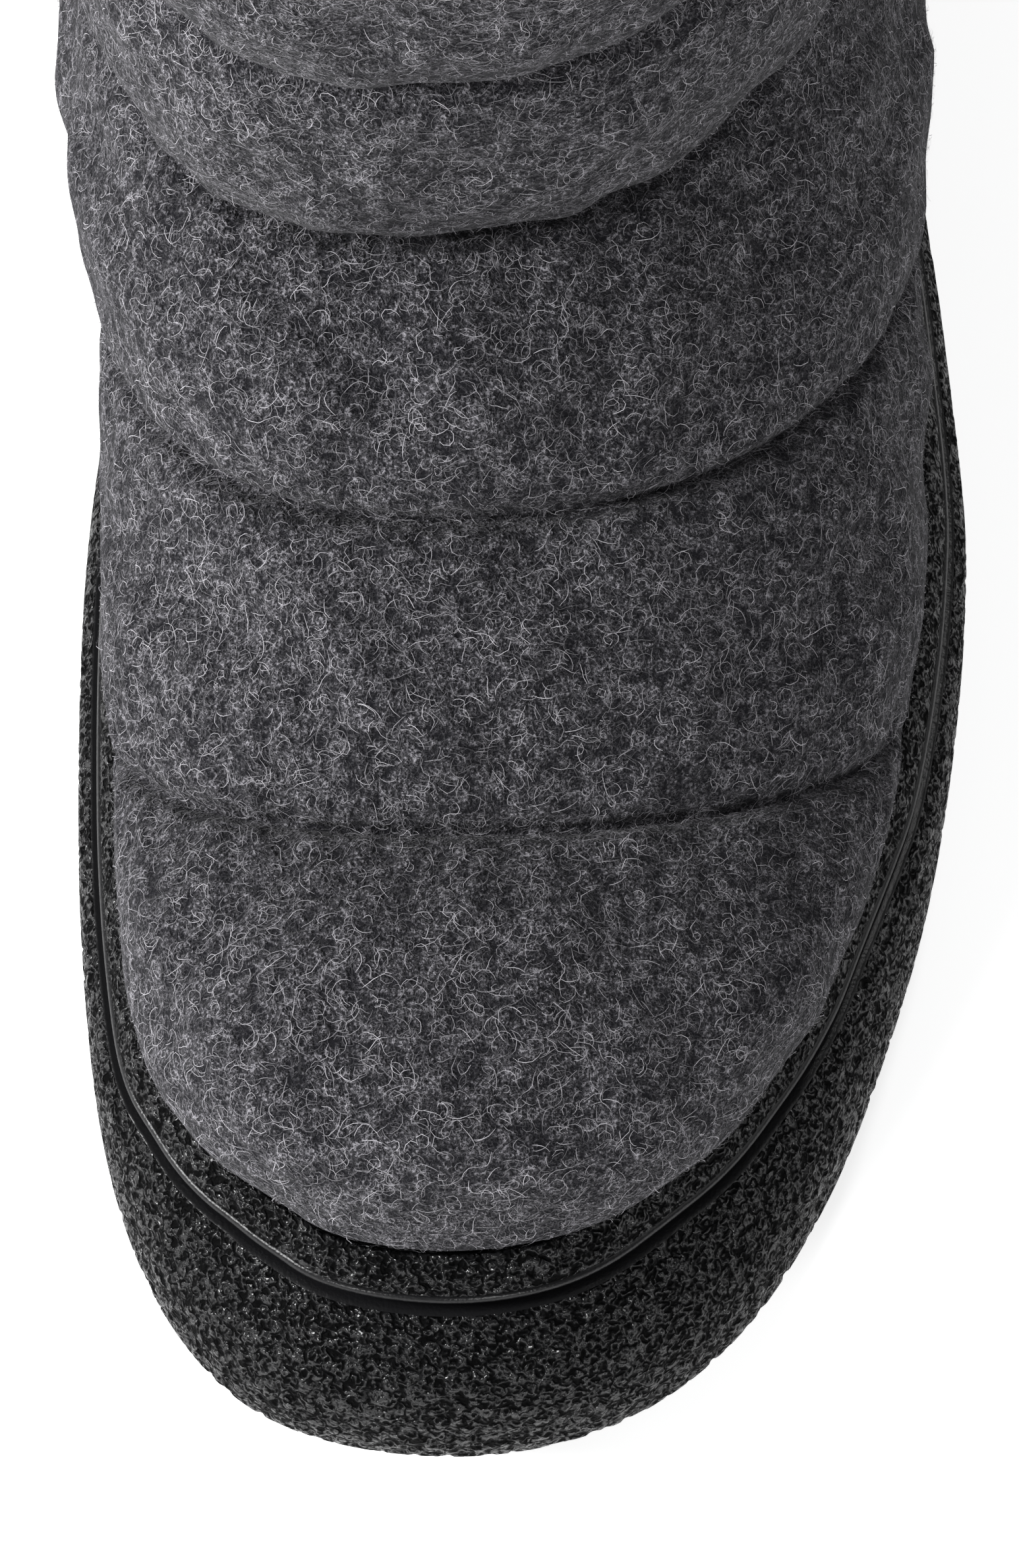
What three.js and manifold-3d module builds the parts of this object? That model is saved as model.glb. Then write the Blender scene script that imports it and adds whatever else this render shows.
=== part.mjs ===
import * as THREE from "three";
import { mergeVertices } from "three/addons/utils/BufferGeometryUtils.js";
import Module from "manifold-3d";

// A pull-on winter boot for the left foot: a padded wool-felt upper quilted into channels, on a rubber
// cup sole. Millimetres, +Z up, toe towards -Y, outer (little toe) side towards +X.
// "Back" is the distance from the toe tip of the sole towards the heel.

const wasm = await Module();
wasm.setup();

// Sole, in plan
const SOLE_LENGTH = 296;
const BALL_WIDTH = 116;

// Sole, heights above the floor
const OUTSOLE_HEIGHT = 28; // floor to groove under the ball
const HEEL_RISE = 9; // how much higher the groove runs at the heel
const TOE_SPRING = 7; // lift of the toe tip
const TOE_RISE = 9; // how much higher the groove runs at the toe tip
const SPRING_LENGTH = 75; // stretch behind the toe tip that lifts
const ARCH_LIFT = 3.5; // hollow under the waist
const RIM_HEIGHT = 7; // band above the groove
const GROOVE_WIDTH = 1.5;
const GROOVE_DEPTH = 3;
const CUP_FLOOR = 1.7; // midsole board above the groove line

// Sole side, as distances inside the widest outline, at the flanks and at the toe tip
const GROOVE_INSET = { flank: 2, toe: 10.7 };
const RIM_WIDTH = { flank: 4.2, toe: 5.3 };
const CUP_DRAFT = 2.8; // how far the inner wall of the cup leans in on its way down

// Tread
const LUG_PITCH = 17;
const SLOT_WIDTH = 6;
const SLOT_DEPTH = 3.5;
const TREAD_RAIL = 11; // uncut band along the edge

// Upper
const WALL = 3; // felt, wadding and lining where they are stitched through
const ROLL = 1; // how softly the sides roll in over the rim
const PUFF = 5; // extra fullness in the middle of a channel
const PUFF_START = 18; // height above the rim by which the channels are full
const VAMP_RISE = 63; // rim at the ball to the front of the ankle seam
const ANKLE_BACK = 131; // ankle seam behind the toe tip
const ANKLE_DEPTH = 154; // front to back at the ankle seam
const ANKLE_WIDTH = 100;
const COLLAR_DEPTH = 142;
const COLLAR_WIDTH = 100;
const SHAFT_CHANNELS = 4;
const CHANNEL_PITCH = 35.5;
const ANKLE_DROP = 20; // how much lower the ankle seam runs at the back
const COLLAR_DROP = 4;
const SHAFT_LEAN = 5; // backward lean of the shin line over the whole shaft
const HEEL_BULGE = 2.5;
const TOE_RIDGE = -5; // the front line lies to the inner side over the toes
const RIDGE_FADE = 3; // how soon that shift dies away down the sides of the toes
const SQUARE_INSIDE = 2.8; // bluntness of the shaft, 2 for an ellipse
const SQUARE_OUTSIDE = 2.05;
const TOE_BLEND = 0.34; // stretch of the first channel that follows the line of the cup
const SHIN_TWIST = 0.12; // how far the shin faces to the inner side, as a slope

const INSOLE_THICKNESS = 4;
const CLEARANCE = 0.3; // between glued neighbours

// How finely the curved pieces are divided
const OUTLINE_STEPS = 30; // along one side of the sole
const ARCH_STEPS = 18; // along one side of an upper section
const LINING_STEPS = 13;

// Widest outline of the sole: share of the length behind the toe tip, then the distances of the inner
// and outer edges from the shaft's middle line as shares of the ball width.
const SOLE_OUTLINE = [
  { back: 0, medial: 0.043, lateral: -0.043 },
  { back: 0.0155, medial: 0.23, lateral: 0.136 },
  { back: 0.06, medial: 0.349, lateral: 0.277 },
  { back: 0.121, medial: 0.419, lateral: 0.374 },
  { back: 0.182, medial: 0.446, lateral: 0.437 },
  { back: 0.276, medial: 0.462, lateral: 0.504 },
  { back: 0.405, medial: 0.461, lateral: 0.539 },
  { back: 0.507, medial: 0.434, lateral: 0.523 },
  { back: 0.608, medial: 0.394, lateral: 0.49 },
  { back: 0.726, medial: 0.371, lateral: 0.445 },
  { back: 0.845, medial: 0.374, lateral: 0.406 },
  { back: 0.929, medial: 0.325, lateral: 0.341 },
  { back: 0.98, medial: 0.195, lateral: 0.2 },
  { back: 1, medial: 0, lateral: 0 },
];

// Sole wall, from the tread edge up to the groove: share of the outsole height, then the distance
// inside the widest outline as a share of GROOVE_INSET.toe, at the flanks and at the toe.
const OUTSOLE_WALL = [
  { up: 0, flank: 0.47, toe: 0.55 },
  { up: 0.08, flank: 0.26, toe: 0.24 },
  { up: 0.24, flank: 0.11, toe: 0 },
  { up: 0.5, flank: 0.03, toe: 0.02 },
  { up: 0.74, flank: 0, toe: 0.27 },
  { up: 0.92, flank: 0.04, toe: 0.7 },
];

// Sections of the foot part, each in a leaning plane from a point of the front line down to the rim of the
// cup, or to the heel line. at: 0 toe tip, 1 and 2 the vamp seams, 3 the ankle seam. frontBack is a share
// of ANKLE_BACK and frontUp of VAMP_RISE. edge is the share of the way along the side of the sole, heel the
// share of the way up the heel line. medial and lateral are half widths as shares of ANKLE_WIDTH.
const FOOT_SECTIONS = [
  { at: 0, frontBack: 0.124, frontUp: 0.148, edge: 0.06, medial: 0.14, lateral: 0.1 },
  { at: 0.1, frontBack: 0.129, frontUp: 0.21, edge: 0.098, medial: 0.22, lateral: 0.17 },
  { at: 0.22, frontBack: 0.157, frontUp: 0.275, edge: 0.165, medial: 0.268, lateral: 0.235 },
  { at: 0.38, frontBack: 0.21, frontUp: 0.349, edge: 0.234, medial: 0.33, lateral: 0.333 },
  { at: 0.56, frontBack: 0.286, frontUp: 0.402, edge: 0.293, medial: 0.385, lateral: 0.412 },
  { at: 0.78, frontBack: 0.385, frontUp: 0.422, edge: 0.333, medial: 0.425, lateral: 0.475 },
  { at: 1, frontBack: 0.498, frontUp: 0.427, edge: 0.378, medial: 0.45, lateral: 0.52 },
  { at: 1.5, frontBack: 0.63, frontUp: 0.549, edge: 0.471, medial: 0.445, lateral: 0.535 },
  { at: 2, frontBack: 0.763, frontUp: 0.698, edge: 0.567, medial: 0.47, lateral: 0.55 },
  { at: 2.25, frontBack: 0.824, frontUp: 0.771, edge: 0.659, medial: 0.49, lateral: 0.54 },
  { at: 2.5, frontBack: 0.886, frontUp: 0.848, edge: 0.75, medial: 0.51, lateral: 0.52 },
  { at: 2.62, frontBack: 0.915, frontUp: 0.886, edge: 0.87, medial: 0.51, lateral: 0.512 },
  { at: 2.74, frontBack: 0.942, frontUp: 0.92, edge: 1, heel: 0, medial: 0.508, lateral: 0.506 },
  { at: 2.87, frontBack: 0.972, frontUp: 0.959, heel: 0.5, medial: 0.504, lateral: 0.5 },
  { at: 3, frontBack: 1, frontUp: 1, heel: 1, medial: 0.5, lateral: 0.493 },
];

const smooth = (low, high, value) => THREE.MathUtils.smoothstep(value, low, high);
const mix = THREE.MathUtils.lerp;

// A smooth curve through the points (keys[i], values[i]), read at any key.
function curveThrough(keys, values) {
  const last = keys.length - 1;
  const slope = keys.map((_, i) => {
    const a = Math.max(i - 1, 0);
    const b = Math.min(i + 1, last);
    return (values[b] - values[a]) / (keys[b] - keys[a]);
  });
  return (key) => {
    let i = 0;
    while (i < last - 1 && key > keys[i + 1]) i += 1;
    const span = keys[i + 1] - keys[i];
    const t = THREE.MathUtils.clamp((key - keys[i]) / span, 0, 1);
    const s = t * t;
    const c = s * t;
    return (
      (2 * c - 3 * s + 1) * values[i] +
      (c - 2 * s + t) * span * slope[i] +
      (3 * s - 2 * c) * values[i + 1] +
      (c - s) * span * slope[i + 1]
    );
  };
}

// Heights along the sole
const liftAt = (back) => Math.max(0, 1 - back / SPRING_LENGTH) ** 2;
const archAt = (back) =>
  ARCH_LIFT * smooth(0.5, 0.58, back / SOLE_LENGTH) * (1 - smooth(0.66, 0.72, back / SOLE_LENGTH));
const heelRiseAt = (back) => HEEL_RISE * smooth(0.42, 0.8, back / SOLE_LENGTH);
const treadAt = (back) => TOE_SPRING * liftAt(back) + archAt(back);
const grooveAt = (back) => OUTSOLE_HEIGHT + TOE_RISE * liftAt(back) + heelRiseAt(back);

// Plan outline. way is 0 at the toe tip, 1 at the heel on the inner side and 2 at the toe again on the
// outer side; it runs with the angle of a half circle over the length, so that toe and heel are round.
const angleOf = (share) => Math.acos(1 - 2 * share);
const outlineKeys = SOLE_OUTLINE.map((row) => angleOf(row.back));
const medialEdge = curveThrough(outlineKeys, SOLE_OUTLINE.map((row) => -row.medial * BALL_WIDTH));
const lateralEdge = curveThrough(outlineKeys, SOLE_OUTLINE.map((row) => row.lateral * BALL_WIDTH));

function outlinePoint(way) {
  const turned = THREE.MathUtils.euclideanModulo(way, 2);
  const angle = Math.PI * Math.min(turned, 2 - turned);
  const x = turned <= 1 ? medialEdge(angle) : lateralEdge(angle);
  return new THREE.Vector2(x, (SOLE_LENGTH * (1 - Math.cos(angle))) / 2);
}

// The same point moved inwards, by one distance at the flanks and heel and another at the toe.
function insetPoint(way, flank, toe) {
  const along = outlinePoint(way + 0.01).sub(outlinePoint(way - 0.01)).normalize();
  const inwards = new THREE.Vector2(along.y, -along.x);
  const toeness = smooth(0, 0.75, inwards.y);
  return outlinePoint(way).addScaledVector(inwards, mix(flank, toe, toeness));
}

function insetOutline(flank, toe) {
  return Array.from({ length: 2 * OUTLINE_STEPS }, (_, i) => insetPoint(i / OUTLINE_STEPS, flank, toe));
}

// The closed loop of a sole piece: an inset outline at a height that depends on the place along it.
function soleRing(flank, toe, heightAt) {
  return insetOutline(flank, toe).map(
    (point, i) => new THREE.Vector3(point.x, point.y, heightAt(outlinePoint(i / OUTLINE_STEPS).y)),
  );
}

const place = (point) => [point.x, point.y - SOLE_LENGTH / 2, point.z];

// A closed solid from its triangles, as lists of points and point numbers.
function solidOf(points, triangles) {
  const geometry = new THREE.BufferGeometry();
  geometry.setAttribute("position", new THREE.Float32BufferAttribute(points.flatMap(place), 3));
  geometry.setIndex(triangles);
  const merged = mergeVertices(geometry, 1e-3);
  const index = merged.index.array;
  const kept = [];
  for (let i = 0; i < index.length; i += 3) {
    const [a, b, c] = [index[i], index[i + 1], index[i + 2]];
    if (a !== b && b !== c && c !== a) kept.push(a, b, c);
  }
  const solid = new wasm.Manifold(
    new wasm.Mesh({
      numProp: 3,
      vertProperties: merged.attributes.position.array,
      triVerts: new Uint32Array(kept),
    }),
  );
  return solid;
}

// A solid through closed rings of the sole, listed from the middle of its underside outwards and up to
// the middle of its top. Each end is closed by strips between opposite points of its ring.
function stackRings(rings) {
  const count = rings[0].length;
  const points = rings.flat();
  const triangles = [];
  for (let r = 0; r + 1 < rings.length; r += 1) {
    for (let i = 0; i < count; i += 1) {
      const a = r * count + i;
      const b = r * count + ((i + 1) % count);
      triangles.push(a, a + count, b, b, a + count, b + count);
    }
  }
  const top = (rings.length - 1) * count;
  for (let i = 0; i < count / 2; i += 1) {
    const [a, b] = [i, i + 1];
    const [c, d] = [(count - i) % count, count - i - 1];
    triangles.push(a, b, c, b, d, c);
    triangles.push(top + a, top + c, top + b, top + b, top + c, top + d);
  }
  return solidOf(points, triangles);
}

// Outsole: a thick rubber cup with a swelling toe, a ledge under the groove and a lugged tread.
function outsole() {
  const wall = OUTSOLE_WALL.map((row) =>
    soleRing(
      row.flank * GROOVE_INSET.toe,
      row.toe * GROOVE_INSET.toe,
      (back) => mix(treadAt(back), grooveAt(back), row.up),
    ),
  );
  const lip = soleRing(GROOVE_INSET.flank, GROOVE_INSET.toe, grooveAt);
  const seat = soleRing(
    GROOVE_INSET.flank + GROOVE_DEPTH,
    GROOVE_INSET.toe + GROOVE_DEPTH,
    (back) => grooveAt(back) - CLEARANCE,
  );
  let solid = stackRings([...wall, lip, seat]);
  for (const slot of treadSlots()) solid = solid.subtract(slot);
  return solid;
}

// Chevron slots across the tread, left out under the raised waist.
function treadSlots() {
  const slots = [];
  const rail = insetOutline(TREAD_RAIL, TREAD_RAIL + GROOVE_INSET.toe);
  const half = rail.length / 2;
  const medialRail = rail.slice(0, half + 1);
  const lateralRail = [rail[0], ...rail.slice(half).reverse()];
  for (let back = LUG_PITCH * 1.6; back < SOLE_LENGTH - LUG_PITCH; back += LUG_PITCH) {
    if (archAt(back) > 0.2) continue;
    const low = crossing(medialRail, back);
    const high = crossing(lateralRail, back);
    const middle = (low + high) / 2;
    const skew = SLOT_WIDTH * 0.8;
    const shape = new THREE.Shape([
      new THREE.Vector2(low, back),
      new THREE.Vector2(middle, back - skew),
      new THREE.Vector2(high, back),
      new THREE.Vector2(high, back + SLOT_WIDTH),
      new THREE.Vector2(middle, back + SLOT_WIDTH - skew),
      new THREE.Vector2(low, back + SLOT_WIDTH),
    ]);
    const depth = treadAt(back) + SLOT_DEPTH + 1;
    const cut = new THREE.ExtrudeGeometry(shape, { depth, bevelEnabled: false }).translate(0, 0, -1);
    cut.deleteAttribute("normal");
    cut.deleteAttribute("uv");
    const merged = mergeVertices(cut, 1e-3);
    const corners = merged.attributes.position;
    const points = [];
    for (let i = 0; i < corners.count; i += 1) points.push(new THREE.Vector3().fromBufferAttribute(corners, i));
    slots.push(solidOf(points, [...merged.index.array]));
  }
  return slots;
}

// The place (or height) of a line listed from toe to heel, at a distance behind the toe tip.
function crossing(side, back, axis = "x") {
  let i = 0;
  while (i < side.length - 2 && side[i + 1].y < back) i += 1;
  const share = THREE.MathUtils.clamp((back - side[i].y) / (side[i + 1].y - side[i].y), 0, 1);
  return mix(side[i][axis], side[i + 1][axis], share);
}

// Midsole: the board on the outsole and the leaning rim round the foot of the upper.
function midsole() {
  const inset = (extra, toeExtra = extra) => [GROOVE_INSET.flank + extra, GROOVE_INSET.toe + toeExtra];
  const up = (height) => (back) => grooveAt(back) + height;
  const [rimFlank, rimToe] = [RIM_WIDTH.flank, RIM_WIDTH.toe];
  const board = inset(rimFlank + CUP_DRAFT, rimToe + CUP_DRAFT);
  return stackRings([
    soleRing(...inset(GROOVE_DEPTH + CLEARANCE), up(0)),
    soleRing(...inset(GROOVE_DEPTH + CLEARANCE), up(GROOVE_WIDTH)),
    soleRing(...inset(0.9), up(GROOVE_WIDTH)),
    soleRing(...inset(0.7), up(GROOVE_WIDTH + 0.7)),
    soleRing(...inset(rimFlank * 0.45, rimToe * 0.42), up(RIM_HEIGHT * 0.62)),
    soleRing(...inset(rimFlank * 0.8, rimToe * 0.8), up(RIM_HEIGHT * 0.95)),
    soleRing(...inset(rimFlank, rimToe), up(RIM_HEIGHT)),
    soleRing(...board, up(CUP_FLOOR)),
  ]);
}

// The line where the upper meets the cup, followed in the straight steps of the sole's own outline: at the
// top of the rim or on the cup floor, and further inside by an extra distance.
function cupPoint(way, level, extra) {
  const draft = level === "rim" ? 0 : CUP_DRAFT;
  const more = draft + CLEARANCE + extra;
  const step = Math.min(Math.floor(way * OUTLINE_STEPS + 1e-9), 2 * OUTLINE_STEPS - 1);
  const ends = [step, step + 1].map((i) => {
    const at = i / OUTLINE_STEPS;
    const plan = insetPoint(at, GROOVE_INSET.flank + RIM_WIDTH.flank + more, GROOVE_INSET.toe + RIM_WIDTH.toe + more);
    const rise = level === "rim" ? RIM_HEIGHT : CUP_FLOOR;
    return new THREE.Vector3(plan.x, plan.y, grooveAt(outlinePoint(at).y) + rise + CLEARANCE);
  });
  return ends[0].lerp(ends[1], way * OUTLINE_STEPS - step);
}
const sideWay = (share, sign) => (sign < 0 ? share : 2 - share);

// Height of the cup line at a distance behind the toe tip
const cupLine = Array.from({ length: OUTLINE_STEPS + 1 }, (_, i) => cupPoint(i / OUTLINE_STEPS, "rim", 0));
const cupHeightAt = (back) => crossing(cupLine, back, "z");

// Front and heel ends of each section, and its half widths. Above the ankle seam they follow the shaft.
const BALL_RIM = OUTSOLE_HEIGHT + RIM_HEIGHT;
const ankleFront = BALL_RIM + VAMP_RISE;
const ankleRear = ankleFront - ANKLE_DROP;
const collarRise = SHAFT_CHANNELS * CHANNEL_PITCH;
const COLLAR_AT = 3 + SHAFT_CHANNELS;
const heelFoot = cupPoint(1, "rim", 0);
const footCurve = (rows, value) => curveThrough(rows.map((row) => row.at), rows.map(value));
const frontBackAt = footCurve(FOOT_SECTIONS, (row) => row.frontBack * ANKLE_BACK);
const frontUpAt = footCurve(FOOT_SECTIONS, (row) => BALL_RIM + row.frontUp * VAMP_RISE);
const medialAt = footCurve(FOOT_SECTIONS, (row) => row.medial * ANKLE_WIDTH);
const lateralAt = footCurve(FOOT_SECTIONS, (row) => row.lateral * ANKLE_WIDTH);
const edgeAt = footCurve(FOOT_SECTIONS.filter((row) => row.edge !== undefined), (row) => row.edge);
const heelAt = footCurve(FOOT_SECTIONS.filter((row) => row.heel !== undefined), (row) => row.heel);
const HEEL_AT = FOOT_SECTIONS.find((row) => row.edge === 1).at;

function sectionAt(at, sign) {
  if (at > 3) {
    const share = (at - 3) / SHAFT_CHANNELS;
    const front = new THREE.Vector3(0, ANKLE_BACK + SHAFT_LEAN * share, ankleFront + collarRise * share);
    const depth = mix(ANKLE_DEPTH, COLLAR_DEPTH, share ** 0.6);
    const drop = mix(ANKLE_DROP, COLLAR_DROP, share ** 0.5);
    const rear = new THREE.Vector3(0, front.y + depth, front.z - drop);
    return { front, rear, half: mix(ANKLE_WIDTH, COLLAR_WIDTH, share) / 2 };
  }
  const front = new THREE.Vector3(mix(TOE_RIDGE, 0, smooth(1, 3, at)), frontBackAt(at), frontUpAt(at));
  const half = sign < 0 ? medialAt(at) : lateralAt(at);
  if (at <= HEEL_AT) return { front, rear: cupPoint(sideWay(edgeAt(at), sign), "rim", 0), half };
  const share = heelAt(at);
  const bulge = HEEL_BULGE * Math.sin(Math.PI * share);
  const back = mix(heelFoot.y, ANKLE_BACK + ANKLE_DEPTH, share) + bulge;
  return { front, rear: new THREE.Vector3(0, back, mix(heelFoot.z, ankleRear, share)), half };
}

// How far a point has turned from the front towards the widest line, for its place across
const turnShare = (across) => (Math.acos((1 + Math.cos(Math.PI * across)) / 2) * 2) / Math.PI;

// A point of the stitched-down surface: along a section from the front line, across = 0, to its end on
// the inner side, -1, or the outer side, 1.
function basePoint(at, across) {
  const sign = Math.sign(across);
  const toeness = 1 - smooth(0, TOE_BLEND, at);
  const alongCup = cupPoint(sideWay(edgeAt(Math.min(at, 1)) * turnShare(across), sign || 1), "rim", 0);
  if (toeness === 1) return alongCup;
  const { front, rear, half } = sectionAt(at, sign);
  const end = Math.abs(rear.x);
  const reach = (half + end + Math.hypot(half - end, ROLL)) / 2;
  const shaft = smooth(1.5, 3, at);
  const square = mix(mix(2, 2.2, smooth(0, 1, at)), sign < 0 ? SQUARE_INSIDE : SQUARE_OUTSIDE, shaft);
  const round = (value) => Math.max(0, 1 - Math.abs(value) ** square) ** (1 / square);
  const share = (1 - Math.cos(Math.PI * Math.abs(across))) / 2;
  const out = Math.abs(across) >= 1 ? end : reach * round(1 - share * (1 + round(end / reach)));
  const twist = SHIN_TWIST * shaft * (1 - share) * sign * out;
  const fade = mix(RIDGE_FADE, 1, smooth(0.4, 1.2, at));
  const point = new THREE.Vector3(
    front.x * (1 - share) ** fade + sign * out,
    mix(front.y, rear.y, share) + twist,
    mix(front.z, rear.z, share),
  );
  return point.lerp(alongCup, toeness);
}

// The swelling of the channels over the stitched-down surface
function puffAt(at, point) {
  const panel = Math.min(Math.floor(at), COLLAR_AT - 1);
  const t = at - panel;
  const profile = panel === 0 ? (1 - t ** 4) ** 0.62 : Math.max(0, Math.sin(Math.PI * t)) ** 0.62;
  return PUFF * profile * smooth(0, PUFF_START, point.z - cupHeightAt(point.y));
}

// The surface at a distance outside the stitched-down one, along its normal. Along the cup it follows the
// cup line instead, further inside by the same distance.
function offsetPoint(at, across, distanceAt) {
  const here = basePoint(at, across);
  const sign = Math.sign(across) || 1;
  const onCup = at === 0 || (Math.abs(across) === 1 && at <= HEEL_AT);
  if (onCup) {
    const way = edgeAt(at) * (at === 0 ? turnShare(across) : 1);
    return cupPoint(sideWay(way, sign), "rim", -distanceAt(here));
  }
  const [step, partStep] = [0.012, 0.08];
  const firstAt = Math.abs(across) === 1 ? HEEL_AT : 0;
  const [lowAt, highAt] = [Math.max(at - partStep, firstAt), Math.min(at + partStep, COLLAR_AT)];
  const [lowAcross, highAcross] = [Math.max(across - step, -1), Math.min(across + step, 1)];
  const alongRow =
    Math.abs(across) === 1
      ? new THREE.Vector3(-1, 0, 0)
      : basePoint(at, highAcross).sub(basePoint(at, lowAcross));
  const alongPart = basePoint(highAt, across).sub(basePoint(lowAt, across));
  const normal = alongRow.cross(alongPart).normalize();
  return here.addScaledVector(normal, distanceAt(here));
}

// Divisions between 0 and the collar: shares of each channel.
function divisions(toe, vamp, quarter, shaft) {
  const rows = toe.slice();
  const add = (panel, shares) => shares.forEach((share) => rows.push(panel + share));
  add(1, vamp);
  add(2, quarter);
  for (let panel = 3; panel < COLLAR_AT; panel += 1) add(panel, shaft);
  rows.push(COLLAR_AT);
  return rows;
}

// A closed solid from rows of points between the toe and the collar, each from the inner side over the
// front to the outer side, with a skirt that goes on down from the cup line in one or more levels.
function shell(ats, steps, pointAt, skirt) {
  const columns = 2 * steps + 1;
  const points = ats.flatMap((at) => Array.from({ length: columns }, (_, c) => pointAt(at, c / steps - 1)));
  const triangles = [];
  const quad = (a, b, c, d) => triangles.push(a, b, c, a, c, d);
  for (let r = 0; r + 1 < ats.length; r += 1) {
    for (let c = 0; c + 1 < columns; c += 1) {
      const a = r * columns + c;
      quad(a, a + 1, a + columns + 1, a + columns);
    }
  }
  const top = (ats.length - 1) * columns;
  for (let c = 0; c < steps; c += 1) {
    const d = columns - 1 - c;
    quad(top + c, top + c + 1, top + d - 1, top + d);
  }
  const heelRow = ats.findIndex((at) => at >= HEEL_AT);
  const ways = [];
  let [inner, outer] = [[], []];
  for (let k = 0; k <= steps; k += 1) {
    ways.push(edgeAt(0) * turnShare(k / steps));
    inner.push(steps - k);
    outer.push(steps + k);
  }
  for (let r = 1; r <= heelRow; r += 1) {
    ways.push(edgeAt(ats[r]));
    inner.push(r * columns);
    outer.push(r * columns + columns - 1);
  }
  for (const level of skirt) {
    const lowInner = ways.map((way) => points.push(level(sideWay(way, -1))) - 1);
    const lowOuter = ways.map((way) => points.push(level(sideWay(way, 1))) - 1);
    for (let k = 0; k + 1 < ways.length; k += 1) {
      quad(inner[k], inner[k + 1], lowInner[k + 1], lowInner[k]);
      quad(outer[k], lowOuter[k], lowOuter[k + 1], outer[k + 1]);
    }
    [inner, outer] = [lowInner, lowOuter];
  }
  for (let k = 0; k + 1 < ways.length; k += 1) quad(inner[k], inner[k + 1], outer[k + 1], outer[k]);
  return solidOf(points, triangles);
}

// Upper: the quilted felt wall, open at the collar and underneath.
function upper() {
  const outer = shell(
    divisions(
      [0, 0.03, 0.06, 0.1, 0.16, 0.24, 0.34, 0.46, 0.6, 0.76, 0.88, 0.96],
      [0, 0.05, 0.18, 0.38, 0.62, 0.82, 0.95],
      [0, 0.05, 0.16, 0.3, 0.44, 0.54, 0.62, 0.68, 0.74, 0.8, 0.87, 0.95],
      [0, 0.05, 0.18, 0.38, 0.62, 0.82, 0.95],
    ),
    ARCH_STEPS,
    (at, across) => offsetPoint(at, across, (here) => puffAt(at, here)),
    [(way) => cupPoint(way, "floor", 0)],
  );
  const down = (point, distance) => new THREE.Vector3(point.x, point.y, point.z - distance);
  const inner = shell(
    divisions(
      [0, 0.06, 0.14, 0.26, 0.44, 0.7],
      [0, 0.5],
      [0, 0.25, 0.5, 0.56, 0.62, 0.68, 0.74, 0.87],
      [0, 0.5],
    ),
    LINING_STEPS,
    (at, across) => down(offsetPoint(at, across, () => -WALL), at === COLLAR_AT ? -WALL : 0),
    [(way) => cupPoint(way, "floor", WALL), (way) => down(cupPoint(way, "floor", WALL), 5)],
  );
  return outer.subtract(inner);
}

// Insole: a flat footbed on the board of the midsole, inside the upper.
function insole() {
  const inside = (extra) => [
    GROOVE_INSET.flank + RIM_WIDTH.flank + CUP_DRAFT + 2 * CLEARANCE + WALL + extra,
    GROOVE_INSET.toe + RIM_WIDTH.toe + CUP_DRAFT + 2 * CLEARANCE + WALL + extra,
  ];
  const up = (height) => (back) => grooveAt(back) + CUP_FLOOR + CLEARANCE + height;
  return stackRings([
    soleRing(...inside(1.6), up(0)),
    soleRing(...inside(0.8), up(INSOLE_THICKNESS * 0.8)),
    soleRing(...inside(1.8), up(INSOLE_THICKNESS)),
  ]);
}

const rubber = new THREE.MeshStandardMaterial({ color: 0x1d1d1f, roughness: 0.45, metalness: 0 });
const foam = new THREE.MeshStandardMaterial({ color: 0x202022, roughness: 0.5, metalness: 0 });
const felt = new THREE.MeshStandardMaterial({ color: 0x54535a, roughness: 0.95, metalness: 0 });
const lining = new THREE.MeshStandardMaterial({ color: 0x3c3b40, roughness: 1, metalness: 0 });

function meshOf(solid, name, material) {
  const data = solid.getMesh();
  const geometry = new THREE.BufferGeometry();
  geometry.setAttribute("position", new THREE.BufferAttribute(Float32Array.from(data.vertProperties), 3));
  geometry.setIndex(new THREE.BufferAttribute(Uint32Array.from(data.triVerts), 1));
  geometry.computeVertexNormals();
  const mesh = new THREE.Mesh(geometry, material);
  mesh.name = name;
  return mesh;
}

const boot = new THREE.Group();
boot.add(
  meshOf(outsole(), "outsole", rubber),
  meshOf(midsole(), "midsole", foam),
  meshOf(insole(), "insole", lining),
  meshOf(upper(), "upper", felt),
);

// The origin is on the floor, in the middle of the boot's length and width.
const box = new THREE.Box3().setFromObject(boot);
boot.position.set(-(box.min.x + box.max.x) / 2, -(box.min.y + box.max.y) / 2, -box.min.z);

export default boot;
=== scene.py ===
"""A quilted felt winter boot with a pebbled rubber sole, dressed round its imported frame."""

import math
from collections import namedtuple

import bpy
import numpy as np
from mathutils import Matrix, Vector


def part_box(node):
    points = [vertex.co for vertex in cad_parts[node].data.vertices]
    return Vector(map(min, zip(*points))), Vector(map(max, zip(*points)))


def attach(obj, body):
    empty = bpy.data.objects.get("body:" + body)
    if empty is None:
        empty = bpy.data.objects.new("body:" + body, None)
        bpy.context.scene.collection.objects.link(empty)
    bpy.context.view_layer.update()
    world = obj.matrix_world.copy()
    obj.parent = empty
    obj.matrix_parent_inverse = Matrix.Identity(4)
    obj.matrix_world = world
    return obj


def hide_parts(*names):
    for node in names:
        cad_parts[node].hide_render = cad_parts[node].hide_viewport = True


bl_info = {
    "name": "Quilted felt boot",
    "version": (1, 0, 0),
    "blender": (4, 5, 0),
    "location": "View3D > Sidebar > Boot",
    "description": "Dresses the packed boot with quilted felt, curly fibres and pebbled rubber",
    "category": "Add Mesh",
}

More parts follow.
